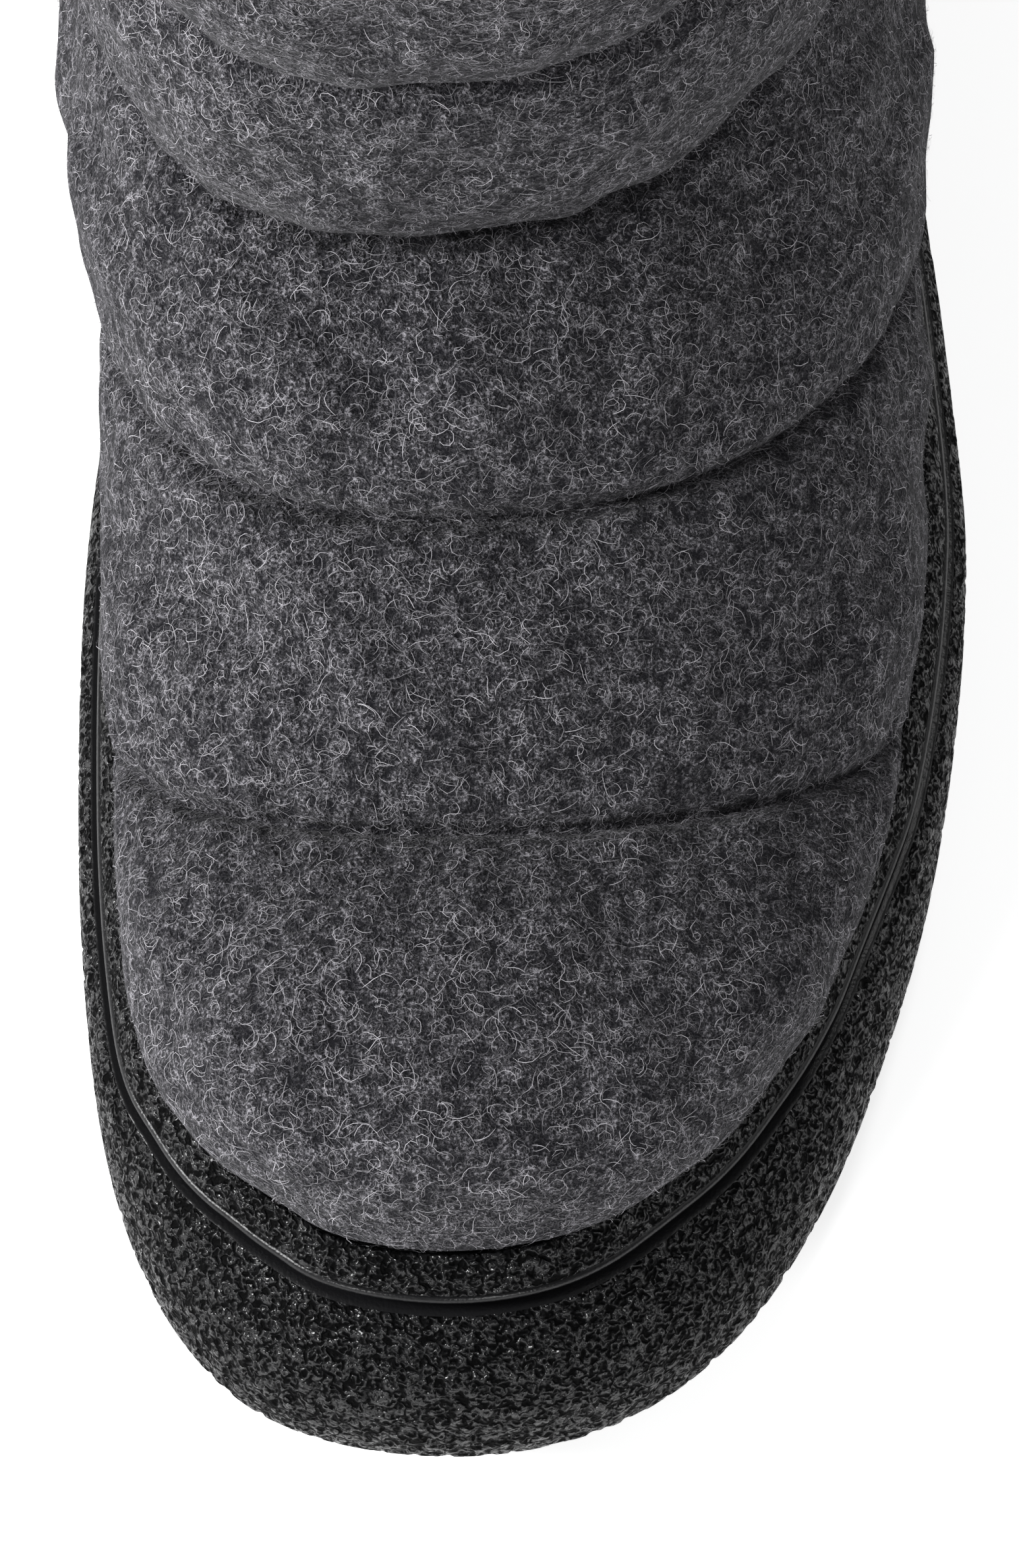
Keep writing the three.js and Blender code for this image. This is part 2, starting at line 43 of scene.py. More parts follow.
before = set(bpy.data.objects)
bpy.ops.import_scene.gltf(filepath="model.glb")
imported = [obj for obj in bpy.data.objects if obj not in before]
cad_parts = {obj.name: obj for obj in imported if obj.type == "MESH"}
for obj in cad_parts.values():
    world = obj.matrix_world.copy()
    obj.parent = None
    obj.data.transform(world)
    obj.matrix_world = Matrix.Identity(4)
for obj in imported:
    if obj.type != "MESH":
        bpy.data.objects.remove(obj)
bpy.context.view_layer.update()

MM = 0.001

# Sizes of the sole in millimetres; back is the distance from the toe tip towards the heel
SOLE_LENGTH = 296
BALL_WIDTH = 116
OUTSOLE_HEIGHT = 28
HEEL_RISE = 9
TOE_SPRING = 7
TOE_RISE = 9
SPRING_LENGTH = 75
ARCH_LIFT = 3.5
RIM_HEIGHT = 7
GROOVE_WIDTH = 1.5
GROOVE_DEPTH = 3
CUP_FLOOR = 1.7
GROOVE_INSET_FLANK = 2
GROOVE_INSET_TOE = 10.7
RIM_WIDTH_FLANK = 4.2
RIM_WIDTH_TOE = 5.3
CUP_DRAFT = 2.8
LUG_PITCH = 17
SLOT_WIDTH = 6
SLOT_DEPTH = 3.5
TREAD_RAIL = 11
TREAD_EDGE = 3
BEAD_HEIGHT = 1.7
BEAD_SETBACK = 1.55
CLEARANCE = 0.3

# Sizes of the upper
WALL = 3
ROLL = 1
PUFF = 5
PUFF_START = 18
PUFF_SHAPE = 0.62
VAMP_RISE = 63
ANKLE_BACK = 131
ANKLE_DEPTH = 154
ANKLE_WIDTH = 100
COLLAR_DEPTH = 142
COLLAR_WIDTH = 100
SHAFT_CHANNELS = 4
CHANNEL_PITCH = 35.5
ANKLE_DROP = 20
COLLAR_DROP = 4
SHAFT_LEAN = 5
HEEL_BULGE = 2.5
TOE_RIDGE = -5
RIDGE_FADE = 3
SQUARE_INSIDE = 2.8
SQUARE_OUTSIDE = 2.05
TOE_BLEND = 0.34
SHIN_TWIST = 0.12
SEAM_PINCH = 1.8
SEAM_WIDTH = 1.4
SAG = 2.2
PUCKER_REACH = 7
INSOLE_THICKNESS = 4

# How finely the meshes are cut
OUTER_COLUMNS = 257
TREAD_COLUMNS = 29
TREAD_STEP = 3.4
PART_STEP = 0.08
COARSE = 4
FIBRE_STEPS = 5
FIBRES_A_PIECE = 19300
FIBRE_TOP = 165

OutlineRow = namedtuple("OutlineRow", "back medial lateral")
SOLE_OUTLINE = [
    OutlineRow(0, 0.043, -0.043),
    OutlineRow(0.0155, 0.23, 0.136),
    OutlineRow(0.06, 0.349, 0.277),
    OutlineRow(0.121, 0.419, 0.374),
    OutlineRow(0.182, 0.446, 0.437),
    OutlineRow(0.276, 0.462, 0.504),
    OutlineRow(0.405, 0.461, 0.539),
    OutlineRow(0.507, 0.434, 0.523),
    OutlineRow(0.608, 0.394, 0.49),
    OutlineRow(0.726, 0.371, 0.445),
    OutlineRow(0.845, 0.374, 0.406),
    OutlineRow(0.929, 0.325, 0.341),
    OutlineRow(0.98, 0.195, 0.2),
    OutlineRow(1, 0, 0),
]

WallRow = namedtuple("WallRow", "up flank toe")
OUTSOLE_WALL = [
    WallRow(0, 0.47, 0.55),
    WallRow(0.08, 0.26, 0.24),
    WallRow(0.24, 0.11, 0),
    WallRow(0.5, 0.03, 0.02),
    WallRow(0.74, 0, 0.27),
    WallRow(0.92, 0.04, 0.7),
]
WALL_TOP = OUTSOLE_WALL[-1].up

# Rings of the sole from the recess behind the tread out to the wall, and rings of the insole
EdgeRow = namedtuple("EdgeRow", "inwards up")
SOLE_EDGE = [
    EdgeRow(3.6, SLOT_DEPTH + 0.4),
    EdgeRow(3.3, 0.2),
    EdgeRow(3.1, 0),
    EdgeRow(1.6, 0),
    EdgeRow(0.6, 0),
]
INSOLE_EDGE = [
    EdgeRow(1.6, 0),
    EdgeRow(0.9, 0.5),
    EdgeRow(0.8, INSOLE_THICKNESS - 1),
    EdgeRow(1.1, INSOLE_THICKNESS - 0.4),
    EdgeRow(1.8, INSOLE_THICKNESS),
    EdgeRow(6, INSOLE_THICKNESS),
    EdgeRow(12, INSOLE_THICKNESS - 0.2),
]

# Rings from the wall's last one over the rounded ledge into the groove
LedgeRow = namedtuple("LedgeRow", "share down pebbles")
LEDGE = [
    LedgeRow(0.2, 1.8, 1),
    LedgeRow(0.4, 1.25, 1),
    LedgeRow(0.6, 0.75, 1),
    LedgeRow(0.75, 0.35, 0.6),
    LedgeRow(0.9, 0.1, 0),
    LedgeRow(1.1, 0, 0),
]

SectionRow = namedtuple("SectionRow", "at front_back front_up medial lateral")
FOOT_SECTIONS = [
    SectionRow(0, 0.124, 0.148, 0.14, 0.1),
    SectionRow(0.1, 0.129, 0.21, 0.22, 0.17),
    SectionRow(0.22, 0.157, 0.275, 0.268, 0.235),
    SectionRow(0.38, 0.21, 0.349, 0.33, 0.333),
    SectionRow(0.56, 0.286, 0.402, 0.385, 0.412),
    SectionRow(0.78, 0.385, 0.422, 0.425, 0.475),
    SectionRow(1, 0.498, 0.427, 0.45, 0.52),
    SectionRow(1.5, 0.63, 0.549, 0.445, 0.535),
    SectionRow(2, 0.763, 0.698, 0.47, 0.55),
    SectionRow(2.25, 0.824, 0.771, 0.49, 0.54),
    SectionRow(2.5, 0.886, 0.848, 0.51, 0.52),
    SectionRow(2.62, 0.915, 0.886, 0.51, 0.512),
    SectionRow(2.74, 0.942, 0.92, 0.508, 0.506),
    SectionRow(2.87, 0.972, 0.959, 0.504, 0.5),
    SectionRow(3, 1, 1, 0.5, 0.493),
]
CupRow = namedtuple("CupRow", "at edge")
CUP_ENDS = [
    CupRow(0, 0.06),
    CupRow(0.1, 0.098),
    CupRow(0.22, 0.165),
    CupRow(0.38, 0.234),
    CupRow(0.56, 0.293),
    CupRow(0.78, 0.333),
    CupRow(1, 0.378),
    CupRow(1.5, 0.471),
    CupRow(2, 0.567),
    CupRow(2.25, 0.659),
    CupRow(2.5, 0.75),
    CupRow(2.62, 0.87),
    CupRow(2.74, 1),
]
HeelRow = namedtuple("HeelRow", "at up")
HEEL_ENDS = [HeelRow(2.74, 0), HeelRow(2.87, 0.5), HeelRow(3, 1)]
HEEL_AT = HEEL_ENDS[0].at
COLLAR_AT = 3 + SHAFT_CHANNELS

# Soft troughs (or ridges, where the depth is negative) between two places of the felt, in millimetres
Crease = namedtuple("Crease", "at across to_at to_across depth width")
CREASES = [
    Crease(2.66, 0.24, 2.2, 0.2, 1.1, 8),
    Crease(1.76, 0.1, 1.36, 0.36, 0.8, 8),
    Crease(1.42, -0.4, 1.5, -0.16, 0.9, 6),
    Crease(2.56, -0.22, 2.2, -0.08, -0.7, 9),
    Crease(0.42, -0.02, 0.52, 0.34, 0.6, 8),
    Crease(0.62, -0.4, 0.86, -0.14, 0.5, 7),
    Crease(3.62, -0.12, 3.42, 0.06, 0.7, 6),
    Crease(2.3, 0.52, 2.78, 0.7, 1.0, 9),
    Crease(2.35, -0.5, 2.8, -0.72, 0.9, 9),
    Crease(4.25, 0.3, 4.7, 0.42, 0.7, 8),
    Crease(5.3, -0.5, 5.75, -0.36, 0.7, 8),
    Crease(3.3, 0.75, 3.8, 0.88, 0.8, 8),
]

# Thin lines in the felt's colour; scale is of the noise that makes them
FibreLayer = namedtuple("FibreLayer", "scale thin offset")
FIBRE_LAYERS = [
    FibreLayer(1100, 0.035, (0.013, 0.002, 0.005)),
    FibreLayer(1500, 0.045, (0.31, 0.12, 0.05)),
    FibreLayer(2100, 0.05, (0.53, 0.27, 0.61)),
]
CLUMP_SCALE = 480
# Painted highlights: specks that brighten the fibre lines in spots where they catch the light
GLINT_SPECK_SCALE = 2300
GLINT_SPECK_OFFSET = (0.7, 0.4, 0.2)
PEBBLE_SCALE = 1050
PEBBLE_WARP = 1.2
GRAIN_SCALE = 2100

# Camera and lights in metres and watts; the target is in the sole's millimetres
CAMERA_ELEVATION = math.radians(66)
CAMERA_DISTANCE = 1.0
CAMERA_LENS = 172
CAMERA_TARGET = (2.33, 99.21, 0)
LIGHTS_TARGET = (0, -0.05, 0.05)
Light = namedtuple("Light", "name place size power")
LIGHTS = [
    Light("key", (-1.0, -0.15, 0.6), 0.35, 25),
    Light("front", (-0.55, -0.95, 0.42), 0.2, 4.5),
    Light("low", (0.25, -1.1, 0.4), 0.2, 4),
    Light("fill", (1.0, 0.0, 0.7), 0.8, 3),
    Light("back", (0.2, 0.4, 1.2), 0.15, 2),
]
FLOOR_HALF = 4.0


def smooth(low, high, value):
    share = np.clip((np.asarray(value, float) - low) / (high - low), 0, 1)
    return share * share * (3 - 2 * share)


def mix(first, second, share):
    return first + (second - first) * share


def unit(vectors):
    return vectors / np.maximum(np.linalg.norm(vectors, axis=-1, keepdims=True), 1e-9)


def curve_through(keys, values):
    """A smooth curve through the points (keys, values), read at any keys."""
    keys = np.asarray(keys, float)
    values = np.asarray(values, float)
    last = len(keys) - 1
    before = np.maximum(np.arange(last + 1) - 1, 0)
    after = np.minimum(np.arange(last + 1) + 1, last)
    slope = (values[after] - values[before]) / (keys[after] - keys[before])

    def read(key):
        key = np.asarray(key, float)
        i = np.clip(np.searchsorted(keys, key) - 1, 0, last - 1)
        span = keys[i + 1] - keys[i]
        t = np.clip((key - keys[i]) / span, 0, 1)
        s = t * t
        c = s * t
        return (
            (2 * c - 3 * s + 1) * values[i]
            + (c - 2 * s + t) * span * slope[i]
            + (3 * s - 2 * c) * values[i + 1]
            + (c - s) * span * slope[i + 1]
        )

    return read


# Sole: heights and outline


def lift_at(back):
    return np.maximum(0, 1 - np.asarray(back, float) / SPRING_LENGTH) ** 2


def arch_at(back):
    share = np.asarray(back, float) / SOLE_LENGTH
    return ARCH_LIFT * smooth(0.5, 0.58, share) * (1 - smooth(0.66, 0.72, share))


def tread_at(back):
    return TOE_SPRING * lift_at(back) + arch_at(back)


def groove_at(back):
    share = np.asarray(back, float) / SOLE_LENGTH
    return OUTSOLE_HEIGHT + TOE_RISE * lift_at(back) + HEEL_RISE * smooth(0.42, 0.8, share)


outline_keys = [math.acos(1 - 2 * row.back) for row in SOLE_OUTLINE]
medial_edge = curve_through(outline_keys, [-row.medial * BALL_WIDTH for row in SOLE_OUTLINE])
lateral_edge = curve_through(outline_keys, [row.lateral * BALL_WIDTH for row in SOLE_OUTLINE])


def outline(way):
    """The widest outline: way 0 is the toe tip, 1 the heel and 2 the toe again, inner side first."""
    turned = np.mod(way, 2)
    angle = np.pi * np.minimum(turned, 2 - turned)
    across = np.where(turned <= 1, medial_edge(angle), lateral_edge(angle))
    return np.stack([across, SOLE_LENGTH * (1 - np.cos(angle)) / 2], -1)


def inset(way, flank, toe):
    """The outline moved inwards, by one distance at the flanks and heel and another at the toe."""
    way = np.asarray(way, float)
    along = unit(outline(way + 0.01) - outline(way - 0.01))
    inwards = np.stack([along[..., 1], -along[..., 0]], -1)
    toeness = smooth(0, 0.75, inwards[..., 1])
    return outline(way) + inwards * mix(flank, toe, toeness)[..., None]


def sole_ring(way, flank, toe, height_at):
    plan = inset(way, flank, toe)
    height = height_at(outline(way)[..., 1])
    return np.concatenate([plan, height[..., None]], -1)


def cup_point(way, level, extra):
    """The line where the upper meets the cup, at the top of the rim or on the cup floor."""
    draft = 0 if level == "rim" else CUP_DRAFT
    rise = RIM_HEIGHT if level == "rim" else CUP_FLOOR
    more = draft + CLEARANCE + extra
    return sole_ring(
        way,
        GROOVE_INSET_FLANK + RIM_WIDTH_FLANK + more,
        GROOVE_INSET_TOE + RIM_WIDTH_TOE + more,
        lambda back: groove_at(back) + rise + CLEARANCE,
    )


cup_line = cup_point(np.linspace(0, 1, 121), "rim", 0)


def cup_height_at(back):
    return np.interp(back, cup_line[:, 1], cup_line[:, 2])


# Upper: the stitched-down surface and the channels on it

BALL_RIM = OUTSOLE_HEIGHT + RIM_HEIGHT
ANKLE_FRONT = BALL_RIM + VAMP_RISE
ANKLE_REAR = ANKLE_FRONT - ANKLE_DROP
COLLAR_RISE = SHAFT_CHANNELS * CHANNEL_PITCH

section_ats = [row.at for row in FOOT_SECTIONS]
front_back_at = curve_through(section_ats, [row.front_back * ANKLE_BACK for row in FOOT_SECTIONS])
front_up_at = curve_through(
    section_ats, [BALL_RIM + row.front_up * VAMP_RISE for row in FOOT_SECTIONS]
)
medial_at = curve_through(section_ats, [row.medial * ANKLE_WIDTH for row in FOOT_SECTIONS])
lateral_at = curve_through(section_ats, [row.lateral * ANKLE_WIDTH for row in FOOT_SECTIONS])
edge_at = curve_through([row.at for row in CUP_ENDS], [row.edge for row in CUP_ENDS])
heel_at = curve_through([row.at for row in HEEL_ENDS], [row.up for row in HEEL_ENDS])


def side_way(share, sign):
    return np.where(sign < 0, share, 2 - share)


def section_at(at, sign):
    """Front and rear ends of a section and its half width, on the inner or the outer side."""
    foot = np.minimum(at, 3)
    share = np.clip((at - 3) / SHAFT_CHANNELS, 0, 1)
    on_shaft = at > 3
    front = np.stack(
        [
            mix(TOE_RIDGE, 0, smooth(1, 3, foot)),
            np.where(on_shaft, ANKLE_BACK + SHAFT_LEAN * share, front_back_at(foot)),
            np.where(on_shaft, ANKLE_FRONT + COLLAR_RISE * share, front_up_at(foot)),
        ],
        -1,
    )
    depth = mix(ANKLE_DEPTH, COLLAR_DEPTH, share**0.6)
    drop = mix(ANKLE_DROP, COLLAR_DROP, share**0.5)
    shaft_rear = np.stack([0 * at, front[..., 1] + depth, front[..., 2] - drop], -1)
    cup_rear = cup_point(side_way(edge_at(np.minimum(at, HEEL_AT)), sign), "rim", 0)
    heel_foot = cup_point(np.float64(1), "rim", 0)
    up = heel_at(np.clip(at, HEEL_AT, 3))
    heel_back = mix(heel_foot[1], ANKLE_BACK + ANKLE_DEPTH, up) + HEEL_BULGE * np.sin(np.pi * up)
    heel_rear = np.stack([0 * at, heel_back, mix(heel_foot[2], ANKLE_REAR, up)], -1)
    rear = np.where((at <= HEEL_AT)[..., None], cup_rear, heel_rear)
    rear = np.where(on_shaft[..., None], shaft_rear, rear)
    half = np.where(sign < 0, medial_at(foot), lateral_at(foot))
    half = np.where(on_shaft, half + (COLLAR_WIDTH - ANKLE_WIDTH) / 2 * share, half)
    return front, rear, half


def turn_share(across):
    """How far a point has turned from the front towards the widest line, for its place across."""
    return np.arccos((1 + np.cos(np.pi * np.abs(across))) / 2) * 2 / np.pi


def base_point(at, across):
    """A point of the stitched-down surface; across is -1 and 1 at the ends and 0 on the front line."""
    at, across = np.broadcast_arrays(np.asarray(at, float), np.asarray(across, float))
    sign = np.where(across < 0, -1.0, 1.0)
    toeness = 1 - smooth(0, TOE_BLEND, at)
    way = edge_at(np.minimum(at, 1)) * turn_share(across)
    along_cup = cup_point(side_way(way, sign), "rim", 0)
    front, rear, half = section_at(at, sign)
    end = np.abs(rear[..., 0])
    reach = (half + end + np.sqrt((half - end) ** 2 + ROLL**2)) / 2
    shaft = smooth(1.5, 3, at)
    blunt = np.where(sign < 0, SQUARE_INSIDE, SQUARE_OUTSIDE)
    square = mix(mix(2, 2.2, smooth(0, 1, at)), blunt, shaft)
    share = (1 - np.cos(np.pi * np.abs(across))) / 2
    low = -((1 - np.minimum(1, end / reach) ** square) ** (1 / square))
    level = 1 - share * (1 - low)
    out = reach * np.maximum(0, 1 - np.abs(level) ** square) ** (1 / square)
    out = np.where(np.abs(across) >= 1, end, out)
    twist = SHIN_TWIST * shaft * (1 - share) * sign * out
    fade = mix(RIDGE_FADE, 1, smooth(0.4, 1.2, at))
    point = np.stack(
        [
            front[..., 0] * (1 - share) ** fade + sign * out,
            mix(front[..., 1], rear[..., 1], share) + twist,
            mix(front[..., 2], rear[..., 2], share),
        ],
        -1,
    )
    return mix(point, along_cup, toeness[..., None])


def puff_at(at, point):
    panel = np.minimum(np.floor(at), COLLAR_AT - 1)
    t = np.clip(at - panel, 0, 1)
    toe = (1 - t**4) ** PUFF_SHAPE
    rest = np.maximum(0, np.sin(np.pi * t)) ** PUFF_SHAPE
    profile = np.where(panel == 0, toe, rest)
    return PUFF * profile * smooth(0, PUFF_START, point[..., 2] - cup_height_at(point[..., 1]))


def surface_normals(at, across):
    step = 0.012
    first_at = np.where(np.abs(across) == 1, HEEL_AT, 0)
    low_at, high_at = np.maximum(at - PART_STEP, first_at), np.minimum(at + PART_STEP, COLLAR_AT)
    low_across, high_across = np.maximum(across - step, -1), np.minimum(across + step, 1)
    along_row = base_point(at, high_across) - base_point(at, low_across)
    along_row = np.where((np.abs(across) == 1)[..., None], [-1.0, 0.0, 0.0], along_row)
    along_part = base_point(high_at, across) - base_point(low_at, across)
    return unit(np.cross(along_row, along_part))


def offset_point(at, across, distance):
    """The surface at a distance outside the stitched-down one; along the cup it follows the cup line."""
    at, across = np.broadcast_arrays(np.asarray(at, float), np.asarray(across, float))
    here = base_point(at, across)
    distance = np.broadcast_to(distance, at.shape)
    out = here + surface_normals(at, across) * distance[..., None]
    sign = np.where(across < 0, -1.0, 1.0)
    edge = np.where(at == 0, edge_at(0) * turn_share(across), edge_at(np.minimum(at, HEEL_AT)))
    on_cup = (at == 0) | ((np.abs(across) == 1) & (at <= HEEL_AT))
    cup = cup_point(side_way(edge, sign), "rim", -distance)
    return np.where(on_cup[..., None], cup, out)


class Waves:
    """Seeded smooth noise: a sum of plane waves with lengths between two limits in millimetres."""

    def __init__(self, seed, count, shortest, longest):
        rng = np.random.default_rng(seed)
        length = np.exp(rng.uniform(np.log(shortest), np.log(longest), count))
        self.ways = unit(rng.normal(size=(count, 3))) / length[:, None] * 2 * np.pi
        self.starts = rng.uniform(0, 2 * np.pi, count)

    def __call__(self, points):
        points = np.asarray(points, float)
        total = np.zeros(points.shape[:-1])
        for way, start in zip(self.ways, self.starts):
            total += np.sin(points @ way + start)
        return total / math.sqrt(len(self.ways) / 2)


# Meshes


def row_shift():
    """Moves sole coordinates into the row's frame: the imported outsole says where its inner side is."""
    low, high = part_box("outsole")
    inner = outline(np.linspace(0, 1, 61))[:, 0].min() * MM
    return np.array([low.x - inner, low.y, 0.0])


SHIFT = row_shift()


def placed(points):
    return np.asarray(points, float) * MM + SHIFT


def make_piece(name, points, faces, node=None, looks=(), chosen=None):
    """A mesh object from points in millimetres and faces of three or four point numbers.

    looks are its materials and chosen says which of them each face has.
    """
    points = placed(points).astype(np.float32)
    mesh = bpy.data.meshes.new(name)
    mesh.vertices.add(len(points))
    mesh.vertices.foreach_set("co", points.ravel())
    sizes = np.concatenate([np.full(len(f), f.shape[1]) for f in faces])
    loops = np.concatenate([f.ravel() for f in faces]).astype(np.int32)
    mesh.loops.add(len(loops))
    mesh.loops.foreach_set("vertex_index", loops)
    mesh.polygons.add(len(sizes))
    starts = np.concatenate([[0], np.cumsum(sizes)[:-1]]).astype(np.int32)
    mesh.polygons.foreach_set("loop_start", starts)
    mesh.polygons.foreach_set("loop_total", sizes.astype(np.int32))
    mesh.polygons.foreach_set("use_smooth", np.full(len(sizes), True))
    for look in looks:
        mesh.materials.append(look)
    if chosen is not None:
        mesh.polygons.foreach_set("material_index", chosen.astype(np.int32))
    mesh.update(calc_edges=True)
    mesh.validate()
    piece = bpy.data.objects.new(name, mesh)
    bpy.context.scene.collection.objects.link(piece)
    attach(piece, "root")
    if node:
        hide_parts(node)
    return piece


def quads(number):
    """Faces of a grid of point numbers, seen from outside when rows run up and columns to the right."""
    corners = [number[:-1, :-1], number[:-1, 1:], number[1:, 1:], number[1:, :-1]]
    return np.stack(corners, -1).reshape(-1, 4)


def ring_stack(name, rings, node, looks, second=None):
    """A closed body from rings of the sole, listed from the middle of its underside to that of its top.

    second says whether each band between two rings has the second material.
    """
    count = len(rings[0])
    # the rings run clockwise seen from above, so the columns are turned round
    number = np.arange(len(rings) * count).reshape(len(rings), count)
    sides = quads(np.concatenate([number, number[:, :1]], 1))[:, ::-1]
    i = np.arange(count // 2)
    a, b, c, d = i, i + 1, (count - i) % count, count - i - 1
    top = (len(rings) - 1) * count
    under = np.stack([a, b, d, c], -1)
    over = np.stack([c, d, b, a], -1) + top
    bands = np.zeros(len(rings) - 1) if second is None else np.array(second)
    chosen = np.concatenate([np.repeat(bands, count), np.zeros(2 * len(i))])
    return make_piece(name, np.concatenate(rings), [sides, under, over], node, looks, chosen)


# Materials


class Nodes:
    """Short ways to write a material's node tree."""

    def __init__(self, name):
        self.material = bpy.data.materials.new(name)
        self.material.use_nodes = True
        self.tree = self.material.node_tree
        self.shader = self.tree.nodes["Principled BSDF"]
        self.place = self.tree.nodes.new("ShaderNodeTexCoord").outputs["Object"]

    def add(self, kind, **settings):
        node = self.tree.nodes.new(kind)
        for key, value in settings.items():
            setattr(node, key, value)
        return node

    def link(self, source, target):
        self.tree.links.new(source, target)

    def feed(self, node, socket, value):
        if isinstance(value, bpy.types.NodeSocket):
            self.link(value, node.inputs[socket])
        else:
            node.inputs[socket].default_value = value

    def math(self, operation, first, second=0.0, third=None):
        node = self.add("ShaderNodeMath", operation=operation)
        self.feed(node, 0, first)
        self.feed(node, 1, second)
        if third is not None:
            self.feed(node, 2, third)
        return node.outputs[0]

    def noise(self, scale, detail, rough=0.5, distortion=0.0, offset=(0, 0, 0)):
        """Noise at the object's own coordinates, moved by offset in metres."""
        moved = self.add("ShaderNodeVectorMath", operation="ADD")
        self.link(self.place, moved.inputs[0])
        moved.inputs[1].default_value = offset
        node = self.add("ShaderNodeTexNoise")
        self.link(moved.outputs[0], node.inputs["Vector"])
        node.inputs["Scale"].default_value = scale
        node.inputs["Detail"].default_value = detail
        node.inputs["Roughness"].default_value = rough
        node.inputs["Distortion"].default_value = distortion
        return node.outputs["Fac"]

    def between(self, value, low, high, to_low=0.0, to_high=1.0, smooth_step=True):
        node = self.add("ShaderNodeMapRange")
        node.interpolation_type = "SMOOTHSTEP" if smooth_step else "LINEAR"
        self.feed(node, 0, value)
        for index, number in zip((1, 2, 3, 4), (low, high, to_low, to_high)):
            node.inputs[index].default_value = number
        return node.outputs[0]

    def colours(self, share, first, second):
        node = self.add("ShaderNodeMix", data_type="RGBA")
        self.feed(node, 0, share)
        for index, colour in ((6, first), (7, second)):
            is_socket = isinstance(colour, bpy.types.NodeSocket)
            self.feed(node, index, colour if is_socket else (*colour, 1))
        return node.outputs[2]

    def bump(self, height, distance, strength=1.0):
        node = self.add("ShaderNodeBump")
        self.feed(node, "Height", height)
        node.inputs["Distance"].default_value = distance
        node.inputs["Strength"].default_value = strength
        return node.outputs[0]

    def give(self, socket, source):
        """Links a node's output to one of the shader's sockets."""
        self.link(source, self.shader.inputs[socket])

    def same_all_over(self, values):
        """Sets sockets of the shader that nothing is linked to."""
        for socket, value in values.items():
            self.shader.inputs[socket].default_value = value


def fibre_lines(nodes, layer):
    """Thin curly lines: where a slow noise passes its middle value."""
    noise = nodes.noise(layer.scale, 1.0, 0.6, offset=layer.offset)
    off = nodes.math("ABSOLUTE", nodes.math("SUBTRACT", noise, 0.5))
    return nodes.between(off, 0.0, layer.thin, 1.0, 0.0)


def felt_material(name, dark, light):
    nodes = Nodes(name)
    lines = 0.0
    for layer in FIBRE_LAYERS:
        lines = nodes.math("MAXIMUM", lines, fibre_lines(nodes, layer))
    # painted highlight: the fibre lines are lit up in specks, where they catch the light
    glint_specks = nodes.between(nodes.noise(GLINT_SPECK_SCALE, 0.0, offset=GLINT_SPECK_OFFSET), 0.35, 0.68)
    clumps = nodes.between(nodes.noise(CLUMP_SCALE, 3.0, 0.7), 0.36, 0.66)
    ground = nodes.colours(clumps, dark, tuple(mix(d, l, 0.05) for d, l in zip(dark, light)))
    strength = nodes.math("MULTIPLY", lines, nodes.math("MULTIPLY_ADD", clumps, 0.8, 0.12))
    strength = nodes.math("MULTIPLY", strength, nodes.math("MULTIPLY_ADD", glint_specks, 0.85, 0.15))
    nodes.give("Base Color", nodes.colours(strength, ground, light))
    nodes.give("Normal", nodes.bump(clumps, 0.0006, 0.8))
    nodes.same_all_over(
        {"Roughness": 0.95, "Specular IOR Level": 0.03, "Sheen Weight": 0.06, "Sheen Roughness": 0.5}
    )
    return nodes.material


def fibre_material(name, dark, light):
    nodes = Nodes(name)
    each = nodes.add("ShaderNodeNewGeometry").outputs["Random Per Island"]
    nodes.give("Base Color", nodes.colours(nodes.math("POWER", each, 2.4), dark, light))
    nodes.same_all_over({"Roughness": 0.7, "Specular IOR Level": 0.25})
    return nodes.material


def pebbled_rubber(name, colour):
    """Painted shade makes the colour near black between the pebbles, with a gloss on their tops."""
    nodes = Nodes(name)
    pebbles = nodes.noise(PEBBLE_SCALE, 0.0, distortion=PEBBLE_WARP)
    pebbles = nodes.between(pebbles, 0.25, 0.75, smooth_step=False)
    grain = nodes.between(nodes.noise(GRAIN_SCALE, 0.0), 0.3, 0.7)
    height = nodes.math("MULTIPLY_ADD", grain, 0.08, pebbles)
    # painted shade: the colour falls to near black in the pits between the pebbles, where the pebbles
    # would shade them
    dark = tuple(c * 0.15 for c in colour)
    nodes.give("Base Color", nodes.colours(nodes.between(height, 0.1, 0.9), dark, colour))
    nodes.give("Coat Weight", nodes.between(height, 0.3, 0.88, 0.0, 0.5))
    bump = nodes.bump(height, 0.0004)
    nodes.give("Normal", bump)
    nodes.give("Coat Normal", bump)
    nodes.same_all_over({"Roughness": 0.6, "Specular IOR Level": 0.02, "Coat Roughness": 0.1})
    return nodes.material


def smooth_rubber(name, colour):
    nodes = Nodes(name)
    nodes.give("Normal", nodes.bump(nodes.noise(2200, 1.0), 0.00005))
    nodes.same_all_over({"Base Color": (*colour, 1), "Roughness": 0.3, "Specular IOR Level": 0.2})
    return nodes.material


# Properties


class BootSizes(bpy.types.PropertyGroup):
    pucker: bpy.props.FloatProperty(
        name="Pucker", description="Depth of the small folds along the quilting seams",
        default=0.0004, unit="LENGTH",
    )
    lump: bpy.props.FloatProperty(
        name="Lump", description="Unevenness of the wadding", default=0.0005, unit="LENGTH"
    )
    pebble: bpy.props.FloatProperty(
        name="Pebble", description="Depth of the pebbled pattern of the rubber",
        default=0.0003, unit="LENGTH",
    )
    fibre_length: bpy.props.FloatProperty(
        name="Fibre length", description="Length of a curly wool fibre", default=0.0031, unit="LENGTH"
    )
    fibre_width: bpy.props.FloatProperty(
        name="Fibre width", description="Width of a curly wool fibre", default=0.00005, unit="LENGTH"
    )


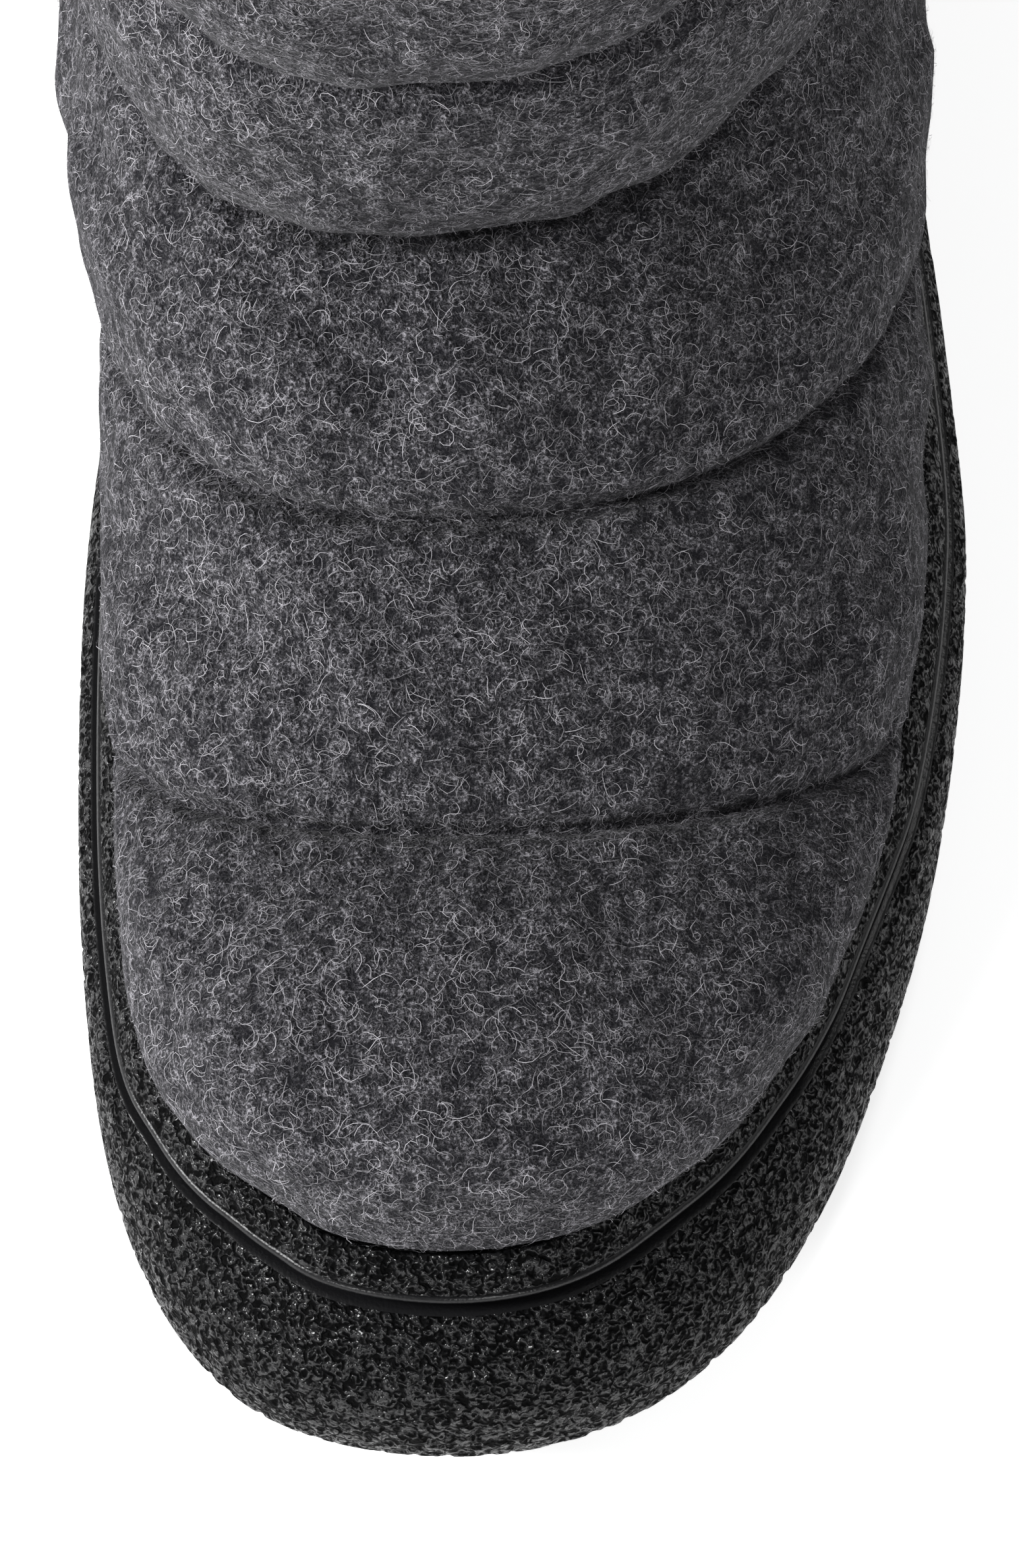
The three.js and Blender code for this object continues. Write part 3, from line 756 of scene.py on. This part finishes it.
class BootColours(bpy.types.PropertyGroup):
    felt_dark: bpy.props.FloatVectorProperty(
        name="Felt shade", description="Felt between the fibres", subtype="COLOR", size=3,
        default=(0.006, 0.006, 0.0075),
    )
    felt_light: bpy.props.FloatVectorProperty(
        name="Felt fibres", description="Lighter wool fibres", subtype="COLOR", size=3,
        default=(0.245, 0.238, 0.258),
    )
    fibre_dark: bpy.props.FloatVectorProperty(
        name="Dark fibres", description="Darkest wool fibres", subtype="COLOR", size=3,
        default=(0.012, 0.012, 0.014),
    )
    fibre_light: bpy.props.FloatVectorProperty(
        name="Light fibres", description="Lightest wool fibres", subtype="COLOR", size=3,
        default=(0.5, 0.487, 0.52),
    )
    rubber: bpy.props.FloatVectorProperty(
        name="Rubber", description="Sole rubber", subtype="COLOR", size=3,
        default=(0.0045, 0.0045, 0.005),
    )
    lining: bpy.props.FloatVectorProperty(
        name="Lining", description="Lining and footbed", subtype="COLOR", size=3,
        default=(0.05, 0.05, 0.055),
    )


# Operators


def dense_ways(toe_steps, rest_steps):
    """Places round the sole, closer together round the toe and mirrored from side to side."""
    toe_reach = 0.45
    toe = np.linspace(0, toe_reach, toe_steps + 1)
    rest = np.linspace(toe_reach, 1, rest_steps + 1)[1:]
    side = np.concatenate([toe, rest])
    return np.concatenate([side, 2 - side[-2:0:-1]])


def pebbled(rings, depth, shares):
    """Rings pushed in and out by a pebbled pattern; shares says how much for each ring."""
    points = np.array(rings)
    outwards = unit(points[:, :, :2] - np.roll(points[:, :, :2], 1, 1))
    outwards = np.stack([-outwards[..., 1], outwards[..., 0]], -1)
    waves = Waves(seed=21, count=60, shortest=1.7, longest=3.2)
    pattern = smooth(-0.9, 0.7, waves(points)) - 0.6
    push = pattern * depth * np.array(shares)[:, None]
    points[..., :2] += outwards * push[..., None]
    return list(points)


def wall_insets(up):
    """How far the outsole's wall stands in from the outline at the flanks and at the toe."""
    ups = [row.up for row in OUTSOLE_WALL]
    flank = curve_through(ups, [row.flank * GROOVE_INSET_TOE for row in OUTSOLE_WALL])
    toe = curve_through(ups, [row.toe * GROOVE_INSET_TOE for row in OUTSOLE_WALL])
    return float(flank(up)), float(toe(up))


def cup_looks(context, pebbles, plain):
    rubber = tuple(context.scene.boot_colours.rubber)
    return [pebbled_rubber(pebbles, rubber), smooth_rubber(plain, rubber)]


class BuildOutsole(bpy.types.Operator):
    """Lower cup of the sole: a pebbled wall and a smooth ledge under the groove"""

    bl_idname = "boot.outsole"
    bl_label = "Outsole"

    def execute(self, context):
        way = dense_ways(420, 180)
        rings, shares, second = [], [], []

        def add(flank, toe, height_at, share=0.0, smooth_band=0):
            rings.append(sole_ring(way, flank, toe, height_at))
            shares.append(share)
            second.append(smooth_band)

        flank, toe = wall_insets(0)
        for row in SOLE_EDGE:
            add(flank + row.inwards, toe + row.inwards, lambda back: tread_at(back) + row.up)
        for up in np.concatenate([np.linspace(0, 0.08, 6), np.linspace(0.1, WALL_TOP, 42)]):
            add(
                *wall_insets(up),
                lambda back: mix(tread_at(back), groove_at(back), up),
                float(smooth(0, 0.05, up)),
            )
        flank, toe = wall_insets(WALL_TOP)
        for row in LEDGE:
            add(
                mix(flank, GROOVE_INSET_FLANK, row.share),
                mix(toe, GROOVE_INSET_TOE, row.share),
                lambda back: groove_at(back) - row.down,
                row.pebbles,
                int(row.pebbles == 0),
            )
        add(
            GROOVE_INSET_FLANK + GROOVE_DEPTH,
            GROOVE_INSET_TOE + GROOVE_DEPTH,
            lambda back: groove_at(back) - CLEARANCE,
            smooth_band=1,
        )
        looks = cup_looks(context, "pebbled_wall", "smooth_ledge")
        rings = pebbled(rings, context.scene.boot_sizes.pebble / MM, shares)
        ring_stack("outsole_rubber", rings, "outsole", looks, second[:-1])
        return {"FINISHED"}


def near_slot(row, slots):
    """How much a row of the tread follows the chevrons: fully near a slot, and straight at both ends."""
    away = min(abs(row - back - SLOT_WIDTH / 2) for back in slots)
    return float(1 - smooth(SLOT_WIDTH, SLOT_WIDTH * 1.8, away))


def tread_rows(first, last, slots):
    """Rows of the tread's grid, with close pairs at both edges of each slot and near both ends."""
    rows = list(np.arange(first + 6, last - 6, TREAD_STEP))
    for step in (0, 0.4, 1.5, 4):
        rows += [first + step, last - step]
    for back in slots:
        end = back + SLOT_WIDTH
        rows += [back - 0.05, back + 0.25, (back + end) / 2, end - 0.25, end + 0.05]
    return np.unique(np.round(rows, 3))


class BuildTread(bpy.types.Operator):
    """Tread with chevron slots, under the outsole"""

    bl_idname = "boot.tread"
    bl_label = "Tread"

    def execute(self, context):
        flank, toe = wall_insets(0)
        side = np.linspace(0.001, 0.999, 400)
        edges = []
        ground = (flank + TREAD_EDGE, toe + TREAD_EDGE)
        for more in (ground, (TREAD_RAIL, TREAD_RAIL + GROOVE_INSET_TOE)):
            edges += [inset(side, *more), inset(2 - side, *more)]
        inner = edges[0]
        places = np.arange(LUG_PITCH * 1.6, SOLE_LENGTH - LUG_PITCH, LUG_PITCH)
        slots = [back for back in places if arch_at(back) <= 0.2]
        rows = tread_rows(inner[:, 1].min() + 0.1, inner[:, 1].max() - 0.1, slots)
        inside = np.linspace(-1, 1, TREAD_COLUMNS)
        points = []
        for row in rows:
            low, high = (np.interp(row, edge[:, 1], edge[:, 0]) for edge in edges[:2])
            rails = [np.interp(row, edge[:, 1], edge[:, 0], left=0, right=0) for edge in edges[2:]]
            middle, half = sum(rails) / 2, max((rails[1] - rails[0]) / 2, 0.5)
            across = middle + inside * half
            before = [low, mix(low, across[0], 0.9), across[0] - 0.05]
            after = [across[-1] + 0.05, mix(high, across[-1], 0.9), high]
            sunk = any(back + 0.2 <= row <= back + SLOT_WIDTH - 0.2 for back in slots) * SLOT_DEPTH
            skew = SLOT_WIDTH * 0.8 * (1 - np.abs(inside)) * near_slot(row, slots)
            x = np.clip(np.concatenate([before, across, after]), low, high)
            back = np.concatenate([[row] * 3, row - skew, [row] * 3])
            up = np.concatenate([[0] * 3, np.full(len(inside), sunk), [0] * 3])
            height = tread_at(np.clip(back, 0, SOLE_LENGTH)) + up - 0.02
            points.append(np.stack([x, back, height], -1))
        points = np.array(points)
        faces = quads(np.arange(points[..., 0].size).reshape(points.shape[:2]))[:, ::-1]
        look = smooth_rubber("tread", tuple(context.scene.boot_colours.rubber))
        make_piece("tread_rubber", points.reshape(-1, 3), [faces], None, [look])
        return {"FINISHED"}


class BuildMidsole(bpy.types.Operator):
    """Pebbled rim of the cup above the groove, with a smooth round bead along its lower edge"""

    bl_idname = "boot.midsole"
    bl_label = "Midsole"

    def execute(self, context):
        way = dense_ways(420, 160)
        rings, shares, second = [], [], []

        def add(flank, toe, up, share=0.0, smooth_band=0):
            flank, toe = GROOVE_INSET_FLANK + flank, GROOVE_INSET_TOE + toe
            rings.append(sole_ring(way, flank, toe, lambda back: groove_at(back) + up))
            shares.append(share)
            second.append(smooth_band)

        deep = GROOVE_DEPTH + CLEARANCE
        bead_up = GROOVE_WIDTH * 0.7
        add(deep, deep, 0, smooth_band=1)
        add(deep, deep, bead_up, smooth_band=1)
        bead = BEAD_HEIGHT / 2
        for turn in np.linspace(-0.5, 0.5, 9) * math.pi:
            inwards = BEAD_SETBACK - bead * math.cos(turn)
            add(inwards, inwards, bead_up + bead * (1 + math.sin(turn)), smooth_band=1)
        for share in np.linspace(0, 1, 22):
            swell = 0.35 * math.sin(math.pi * share)
            add(
                mix(1.2, RIM_WIDTH_FLANK - 0.8, share) - swell,
                mix(1.2, RIM_WIDTH_TOE - 0.8, share) - swell,
                mix(bead_up + BEAD_HEIGHT + 0.1, RIM_HEIGHT - 0.3, share),
                min(1, 4 * share),
            )
        for inwards, up in ((0.5, -0.08), (0.2, 0)):
            add(RIM_WIDTH_FLANK - inwards, RIM_WIDTH_TOE - inwards, RIM_HEIGHT + up, 0.3)
        add(RIM_WIDTH_FLANK, RIM_WIDTH_TOE, RIM_HEIGHT - 0.15)
        add(RIM_WIDTH_FLANK + CUP_DRAFT, RIM_WIDTH_TOE + CUP_DRAFT, CUP_FLOOR)
        looks = cup_looks(context, "pebbled_rim", "smooth_bead")
        rings = pebbled(rings, context.scene.boot_sizes.pebble / MM, shares)
        ring_stack("midsole_rubber", rings, "midsole", looks, second[:-1])
        return {"FINISHED"}


class BuildInsole(bpy.types.Operator):
    """Footbed inside the upper"""

    bl_idname = "boot.insole"
    bl_label = "Insole"

    def execute(self, context):
        way = np.arange(400) / 200
        flank = GROOVE_INSET_FLANK + RIM_WIDTH_FLANK + CUP_DRAFT + 2 * CLEARANCE + WALL
        toe = GROOVE_INSET_TOE + RIM_WIDTH_TOE + CUP_DRAFT + 2 * CLEARANCE + WALL

        def ring(inwards, up):
            floor = CUP_FLOOR + CLEARANCE + up
            return sole_ring(way, flank + inwards, toe + inwards, lambda back: groove_at(back) + floor)

        lining = tuple(context.scene.boot_colours.lining)
        look = felt_material("footbed_felt", lining, tuple(3 * c for c in lining))
        ring_stack("insole_felt", [ring(*row) for row in INSOLE_EDGE], "insole", [look])
        return {"FINISHED"}


def spread(start, end, steps, ends=1.0):
    """Values from start up to but not including end, closer together towards both ends."""
    t = np.arange(steps) / steps
    even = 0.5 - 0.5 * np.cos(np.pi * t)
    return start + (end - start) * mix(t, even, ends)


OUTER_ROWS = np.concatenate(
    [
        TOE_BLEND * (np.arange(24) / 24) ** 1.15,
        spread(TOE_BLEND, 1, 36, 0.3),
        spread(1, 2, 36, 0.5),
        spread(2, HEEL_AT, 28, 0.2),
        spread(HEEL_AT, 3, 12, 0.2),
    ]
    + [spread(3 + k, 4 + k, 28, 0.5) for k in range(SHAFT_CHANNELS)]
    + [[COLLAR_AT]]
)
HEEL_ROW = int(np.searchsorted(OUTER_ROWS, HEEL_AT))


def crease_depth(points):
    """How far the listed troughs draw the felt in at points of the stitched-down surface."""
    total = np.zeros(points.shape[:-1])
    for crease in CREASES:
        share = np.linspace(0, 1, 9)
        across = mix(crease.across, crease.to_across, share)
        line = base_point(mix(crease.at, crease.to_at, share), across)
        nearest = np.full(points.shape[:-1], 1e9)
        fade = np.zeros(points.shape[:-1])
        for spot, along in zip(line, share):
            away = np.linalg.norm(points - spot, axis=-1)
            closer = away < nearest
            nearest = np.where(closer, away, nearest)
            fade = np.where(closer, math.sin(math.pi * mix(0.12, 0.88, along)), fade)
        total += crease.depth * fade * np.exp(-((nearest / crease.width) ** 2))
    return total


def felt_surface(sizes):
    """The outside of the upper as a grid of points in millimetres, from toe to collar."""
    at = OUTER_ROWS[:, None]
    across = np.linspace(-1, 1, OUTER_COLUMNS)[None, :]
    base = base_point(at, across)
    at, across = np.broadcast_arrays(at, across)
    puff = puff_at(at, base)
    full = np.clip(puff / PUFF, 0, 1)
    lumps = Waves(seed=11, count=40, shortest=9, longest=34)(base) * (sizes.lump / MM)
    # distance to the nearest seam in millimetres, measured along the part
    seam = np.clip(np.round(at), 1, COLLAR_AT - 1)
    seam_distance = np.linalg.norm(base - base_point(seam, across), axis=-1)
    off_cup = smooth(1, 9, base[..., 2] - cup_height_at(base[..., 1]))
    # the puckers follow each other along a seam, and no two seams have the same ones
    along = np.stack([across * 190, seam * 500, 0 * at], -1)
    pucker = Waves(seed=12, count=24, shortest=7, longest=16)(along) * (sizes.pucker / MM)
    pucker *= np.exp(-seam_distance / PUCKER_REACH) * np.minimum(1, seam_distance / 2)
    pinch = SEAM_PINCH * np.exp(-((seam_distance / SEAM_WIDTH) ** 2))
    distance = puff + (lumps - crease_depth(base)) * full + (pucker - pinch) * off_cup
    points = offset_point(at, across, distance)
    # the lower edge of each channel hangs over its seam
    t = np.clip(at - np.floor(at), 0, 1)
    low_edge = np.sin(np.pi * np.clip(t / 0.75, 0, 1)) ** 2 * (1 - t)
    low_edge = np.where((at > 1) & (at < COLLAR_AT), low_edge, 0)
    above = base_point(np.minimum(at + PART_STEP, COLLAR_AT), across)
    below = base_point(at - PART_STEP * (at > 0.1), across)
    weight = SAG * low_edge * full * off_cup * np.where(at < 2, 0.5, 1)
    points = points + unit(below - above) * weight[..., None]
    # the rows crowd towards the heel, where they are evened out
    for _ in range(6):
        calmer = points.copy()
        calmer[1:-1] = (points[:-2] + 2 * points[1:-1] + points[2:]) / 4
        near = np.exp(-(((at - HEEL_AT) / 0.07) ** 2)) * smooth(0, 0.06, 1 - np.abs(across))
        points = mix(points, calmer, near[..., None])
    return points


def foot_loop(number, heel):
    """Point numbers from the heel along the inner side, round the toe and back to the heel."""
    return np.concatenate([number[heel:0:-1, 0], number[0, :], number[1 : heel + 1, -1]])


def zip_up(coarse, fine, turned=False):
    """Triangles between a coarse row of points and one with COARSE times as many steps."""
    k = np.arange(len(coarse) - 1)
    made = [np.stack([coarse[k], fine[COARSE * (k + 1)], coarse[k + 1]], -1)]
    for step in range(COARSE):
        made.append(np.stack([coarse[k], fine[COARSE * k + step], fine[COARSE * k + step + 1]], -1))
    return [m[:, ::-1] if turned else m for m in made]


class BuildUpper(bpy.types.Operator):
    """Quilted felt shell with its lining, open at the collar and underneath"""

    bl_idname = "boot.upper"
    bl_label = "Upper"

    def execute(self, context):
        across = np.linspace(-1, 1, OUTER_COLUMNS)
        outer = felt_surface(context.scene.boot_sizes)
        inner = offset_point(OUTER_ROWS[::COARSE, None], across[None, ::COARSE], -float(WALL))
        points = []

        def numbered(made):
            """Adds points and returns their numbers."""
            first = sum(len(some) for some in points)
            points.append(made.reshape(-1, 3))
            return first + np.arange(len(points[-1])).reshape(made.shape[:-1])

        def welded_grid(grid, heel):
            """Numbers of a grid whose two sides meet at the back, from the heel upwards."""
            number = numbered(grid)
            number[heel:, -1] = number[heel:, 0]
            return number

        def welded_loop(loop):
            loop[-1] = loop[0]
            number = numbered(loop)
            number[-1] = number[0]
            return number

        fine = welded_grid(outer, HEEL_ROW)
        coarse = welded_grid(inner, HEEL_ROW // COARSE)
        ways = np.concatenate(
            [
                edge_at(OUTER_ROWS[HEEL_ROW:0:-1]),
                side_way(edge_at(0) * np.abs(across), across),
                2 - edge_at(OUTER_ROWS[1 : HEEL_ROW + 1]),
            ]
        )
        foot = welded_loop(cup_point(ways, "floor", 0))
        inner_foot = welded_loop(cup_point(ways[::COARSE], "floor", WALL))
        loop = foot_loop(fine, HEEL_ROW)
        inner_loop = foot_loop(coarse, HEEL_ROW // COARSE)
        faces = [
            quads(fine),
            quads(coarse)[:, ::-1],
            np.stack([foot[:-1], foot[1:], loop[1:], loop[:-1]], -1),
            np.stack([inner_loop[:-1], inner_loop[1:], inner_foot[1:], inner_foot[:-1]], -1),
        ]
        faces += zip_up(inner_foot, foot)
        faces += zip_up(coarse[-1], fine[-1], turned=True)
        colours = context.scene.boot_colours
        lining = tuple(colours.lining)
        looks = [
            felt_material("curly_felt", tuple(colours.felt_dark), tuple(colours.felt_light)),
            felt_material("fleece_lining", lining, tuple(3 * c for c in lining)),
        ]
        chosen = np.concatenate([np.full(len(some), i == 1) for i, some in enumerate(faces)])
        make_piece("upper_felt", np.concatenate(points), faces, "upper", looks, chosen)
        return {"FINISHED"}


def read_grid(field, u, v):
    """Values of a grid between its points; u counts rows and v columns."""
    rows, columns = field.shape[:2]
    i = np.clip(u.astype(int), 0, rows - 2)
    j = np.clip(v.astype(int), 0, columns - 2)
    a = np.clip(u - i, 0, 1)[:, None]
    b = np.clip(v - j, 0, 1)[:, None]
    return mix(mix(field[i, j], field[i, j + 1], b), mix(field[i + 1, j], field[i + 1, j + 1], b), a)


def grid_ways(grid):
    """Ways down the rows and along the columns of a grid of points, and its outward normals."""
    down = np.gradient(grid, axis=0)
    along = np.gradient(grid, axis=1)
    return down, along, unit(np.cross(along, down))


def fibre_ribbons(grid, weights, count, sizes, seed):
    """Curly ribbons that wander over a grid of points; returns their points and faces."""
    rng = np.random.default_rng(seed)
    rows, columns = grid.shape[:2]
    down_rows, along_rows, normals = grid_ways(grid)
    cell = np.linalg.norm(np.cross(down_rows, along_rows), axis=-1) * weights
    picked = rng.choice(rows * columns, count, p=(cell / cell.sum()).ravel())
    u = picked // columns + rng.uniform(-0.5, 0.5, count)
    v = picked % columns + rng.uniform(-0.5, 0.5, count)
    heading = rng.uniform(0, 2 * np.pi, count)
    curl = rng.choice([-1, 1], count) * np.exp(rng.normal(-0.35, 0.6, count))
    length = sizes.fibre_length / MM * rng.uniform(0.6, 1.5, count)
    lift = np.abs(rng.normal(0.12, 0.22, count)) + 0.05
    width = sizes.fibre_width / MM * rng.uniform(0.7, 1.3, count)
    step = length / FIBRE_STEPS
    left, right = [], []
    for k in range(FIBRE_STEPS + 1):
        u, v = np.clip(u, 0, rows - 1.001), np.clip(v, 0, columns - 1.001)
        spot, normal = read_grid(grid, u, v), unit(read_grid(normals, u, v))
        side_u, side_v = read_grid(down_rows, u, v), read_grid(along_rows, u, v)
        first = unit(side_v)
        second = np.cross(normal, first)
        ahead = first * np.cos(heading)[:, None] + second * np.sin(heading)[:, None]
        beside = np.cross(normal, ahead)
        arc = np.sin(np.pi * k / FIBRE_STEPS)
        spot = spot + normal * (lift * arc - 0.03)[:, None]
        reach = beside * (width * (1 + arc) / 4)[:, None]
        left.append(spot + reach)
        right.append(spot - reach)
        # the step along the surface, turned into steps of rows and columns
        uu, uv, vv = (side_u**2).sum(-1), (side_u * side_v).sum(-1), (side_v**2).sum(-1)
        au, av = (ahead * side_u).sum(-1), (ahead * side_v).sum(-1)
        whole = np.maximum(uu * vv - uv**2, 1e-9)
        u = u + np.clip(step * (au * vv - av * uv) / whole, -4, 4)
        v = v + np.clip(step * (av * uu - au * uv) / whole, -4, 4)
        heading = heading + curl * step + rng.normal(0, 0.26, count)
    points = np.stack([np.array(left), np.array(right)], 2).transpose(1, 0, 2, 3)
    number = np.arange(points[..., 0].size).reshape(points.shape[:3])
    corners = [number[:, :-1, 0], number[:, :-1, 1], number[:, 1:, 1], number[:, 1:, 0]]
    return points.reshape(-1, 3), np.stack(corners, -1).reshape(-1, 4)


def towards_camera():
    return np.array([0, -math.cos(CAMERA_ELEVATION), math.sin(CAMERA_ELEVATION)])


class BuildFibres(bpy.types.Operator):
    """Curly wool fibres on the felt, closest together on the front of the boot"""

    bl_idname = "boot.fibres"
    bl_label = "Fibres"

    def execute(self, context):
        sizes = context.scene.boot_sizes
        colours = context.scene.boot_colours
        look = fibre_material("wool_fibres", tuple(colours.fibre_dark), tuple(colours.fibre_light))
        grid = felt_surface(sizes)
        seen = smooth(-0.05, 0.25, grid_ways(grid)[2] @ towards_camera())
        front = seen * (grid[..., 2] < FIBRE_TOP)
        rest = 0.15 + (1 - front) * 0.85
        count = FIBRES_A_PIECE // 1
        groups = (("fibres_a", front, 31), ("fibres_b", front, 32), ("fibres_c", rest, 33))
        for name, weights, seed in groups:
            points, faces = fibre_ribbons(grid, weights, count, sizes, seed)
            make_piece(name, points, [faces], None, [look])
        return {"FINISHED"}


class BuildStage(bpy.types.Operator):
    """Pale floor, soft lights and the camera"""

    bl_idname = "boot.stage"
    bl_label = "Stage"

    def execute(self, context):
        scene = context.scene
        floor_mesh = bpy.data.meshes.new("floor")
        corners = [(x * FLOOR_HALF, y * FLOOR_HALF, 0) for x, y in ((-1, -1), (1, -1), (1, 1), (-1, 1))]
        floor_mesh.from_pydata(corners, [], [(0, 1, 2, 3)])
        floor = bpy.data.objects.new("floor", floor_mesh)
        scene.collection.objects.link(floor)
        paper = Nodes("pale_floor")
        paper.same_all_over({"Base Color": (0.9, 0.9, 0.9, 1), "Roughness": 1, "Specular IOR Level": 0})
        paper.same_all_over({"Emission Color": (1, 1, 1, 1), "Emission Strength": 0.55})
        floor_mesh.materials.append(paper.material)

        world = bpy.data.worlds.new("studio")
        scene.world = world
        world.use_nodes = True
        world.node_tree.nodes["Background"].inputs["Color"].default_value = (1, 1, 1, 1)
        world.node_tree.nodes["Background"].inputs["Strength"].default_value = 0.2
        for row in LIGHTS:
            light = bpy.data.lights.new(row.name, "AREA")
            light.shape = "SQUARE"
            light.size = row.size
            light.energy = row.power
            lamp = bpy.data.objects.new(row.name, light)
            self.aim(lamp, row.place, LIGHTS_TARGET)

        camera = bpy.data.objects.new("camera", bpy.data.cameras.new("camera"))
        target = placed(CAMERA_TARGET)
        self.aim(camera, target + towards_camera() * CAMERA_DISTANCE, target)
        camera.data.sensor_width = 36
        camera.data.lens = CAMERA_LENS
        camera.data.clip_start = 0.05
        camera.data.clip_end = 20
        scene.camera = camera
        scene.view_settings.view_transform = "Standard"
        scene.view_settings.look = "None"
        return {"FINISHED"}

    @staticmethod
    def aim(thing, place, target):
        """Adds a lamp or a camera to the scene, looking from its place at a target."""
        bpy.context.scene.collection.objects.link(thing)
        thing.location = place
        thing.rotation_mode = "QUATERNION"
        thing.rotation_quaternion = (Vector(target) - Vector(place)).to_track_quat("-Z", "Y")


class BootPanel(bpy.types.Panel):
    """Buttons for the boot's pieces"""

    bl_idname = "VIEW3D_PT_boot"
    bl_label = "Quilted felt boot"
    bl_space_type = "VIEW_3D"
    bl_region_type = "UI"
    bl_category = "Boot"

    def draw(self, context):
        for group in (context.scene.boot_sizes, context.scene.boot_colours):
            for key in group.__annotations__:
                self.layout.prop(group, key)
        for operator in OPERATORS:
            self.layout.operator(operator.bl_idname)


OPERATORS = (BuildOutsole, BuildTread, BuildMidsole, BuildInsole, BuildUpper, BuildFibres, BuildStage)
CLASSES = (BootSizes, BootColours, *OPERATORS, BootPanel)


def register():
    for cls in CLASSES:
        bpy.utils.register_class(cls)
    bpy.types.Scene.boot_sizes = bpy.props.PointerProperty(type=BootSizes)
    bpy.types.Scene.boot_colours = bpy.props.PointerProperty(type=BootColours)


def unregister():
    del bpy.types.Scene.boot_colours
    del bpy.types.Scene.boot_sizes
    for cls in reversed(CLASSES):
        bpy.utils.unregister_class(cls)


def main():
    register()
    bpy.ops.boot.outsole()
    bpy.ops.boot.tread()
    bpy.ops.boot.midsole()
    bpy.ops.boot.insole()
    bpy.ops.boot.upper()
    bpy.ops.boot.fibres()
    bpy.ops.boot.stage()


if __name__ == "__main__":
    main()
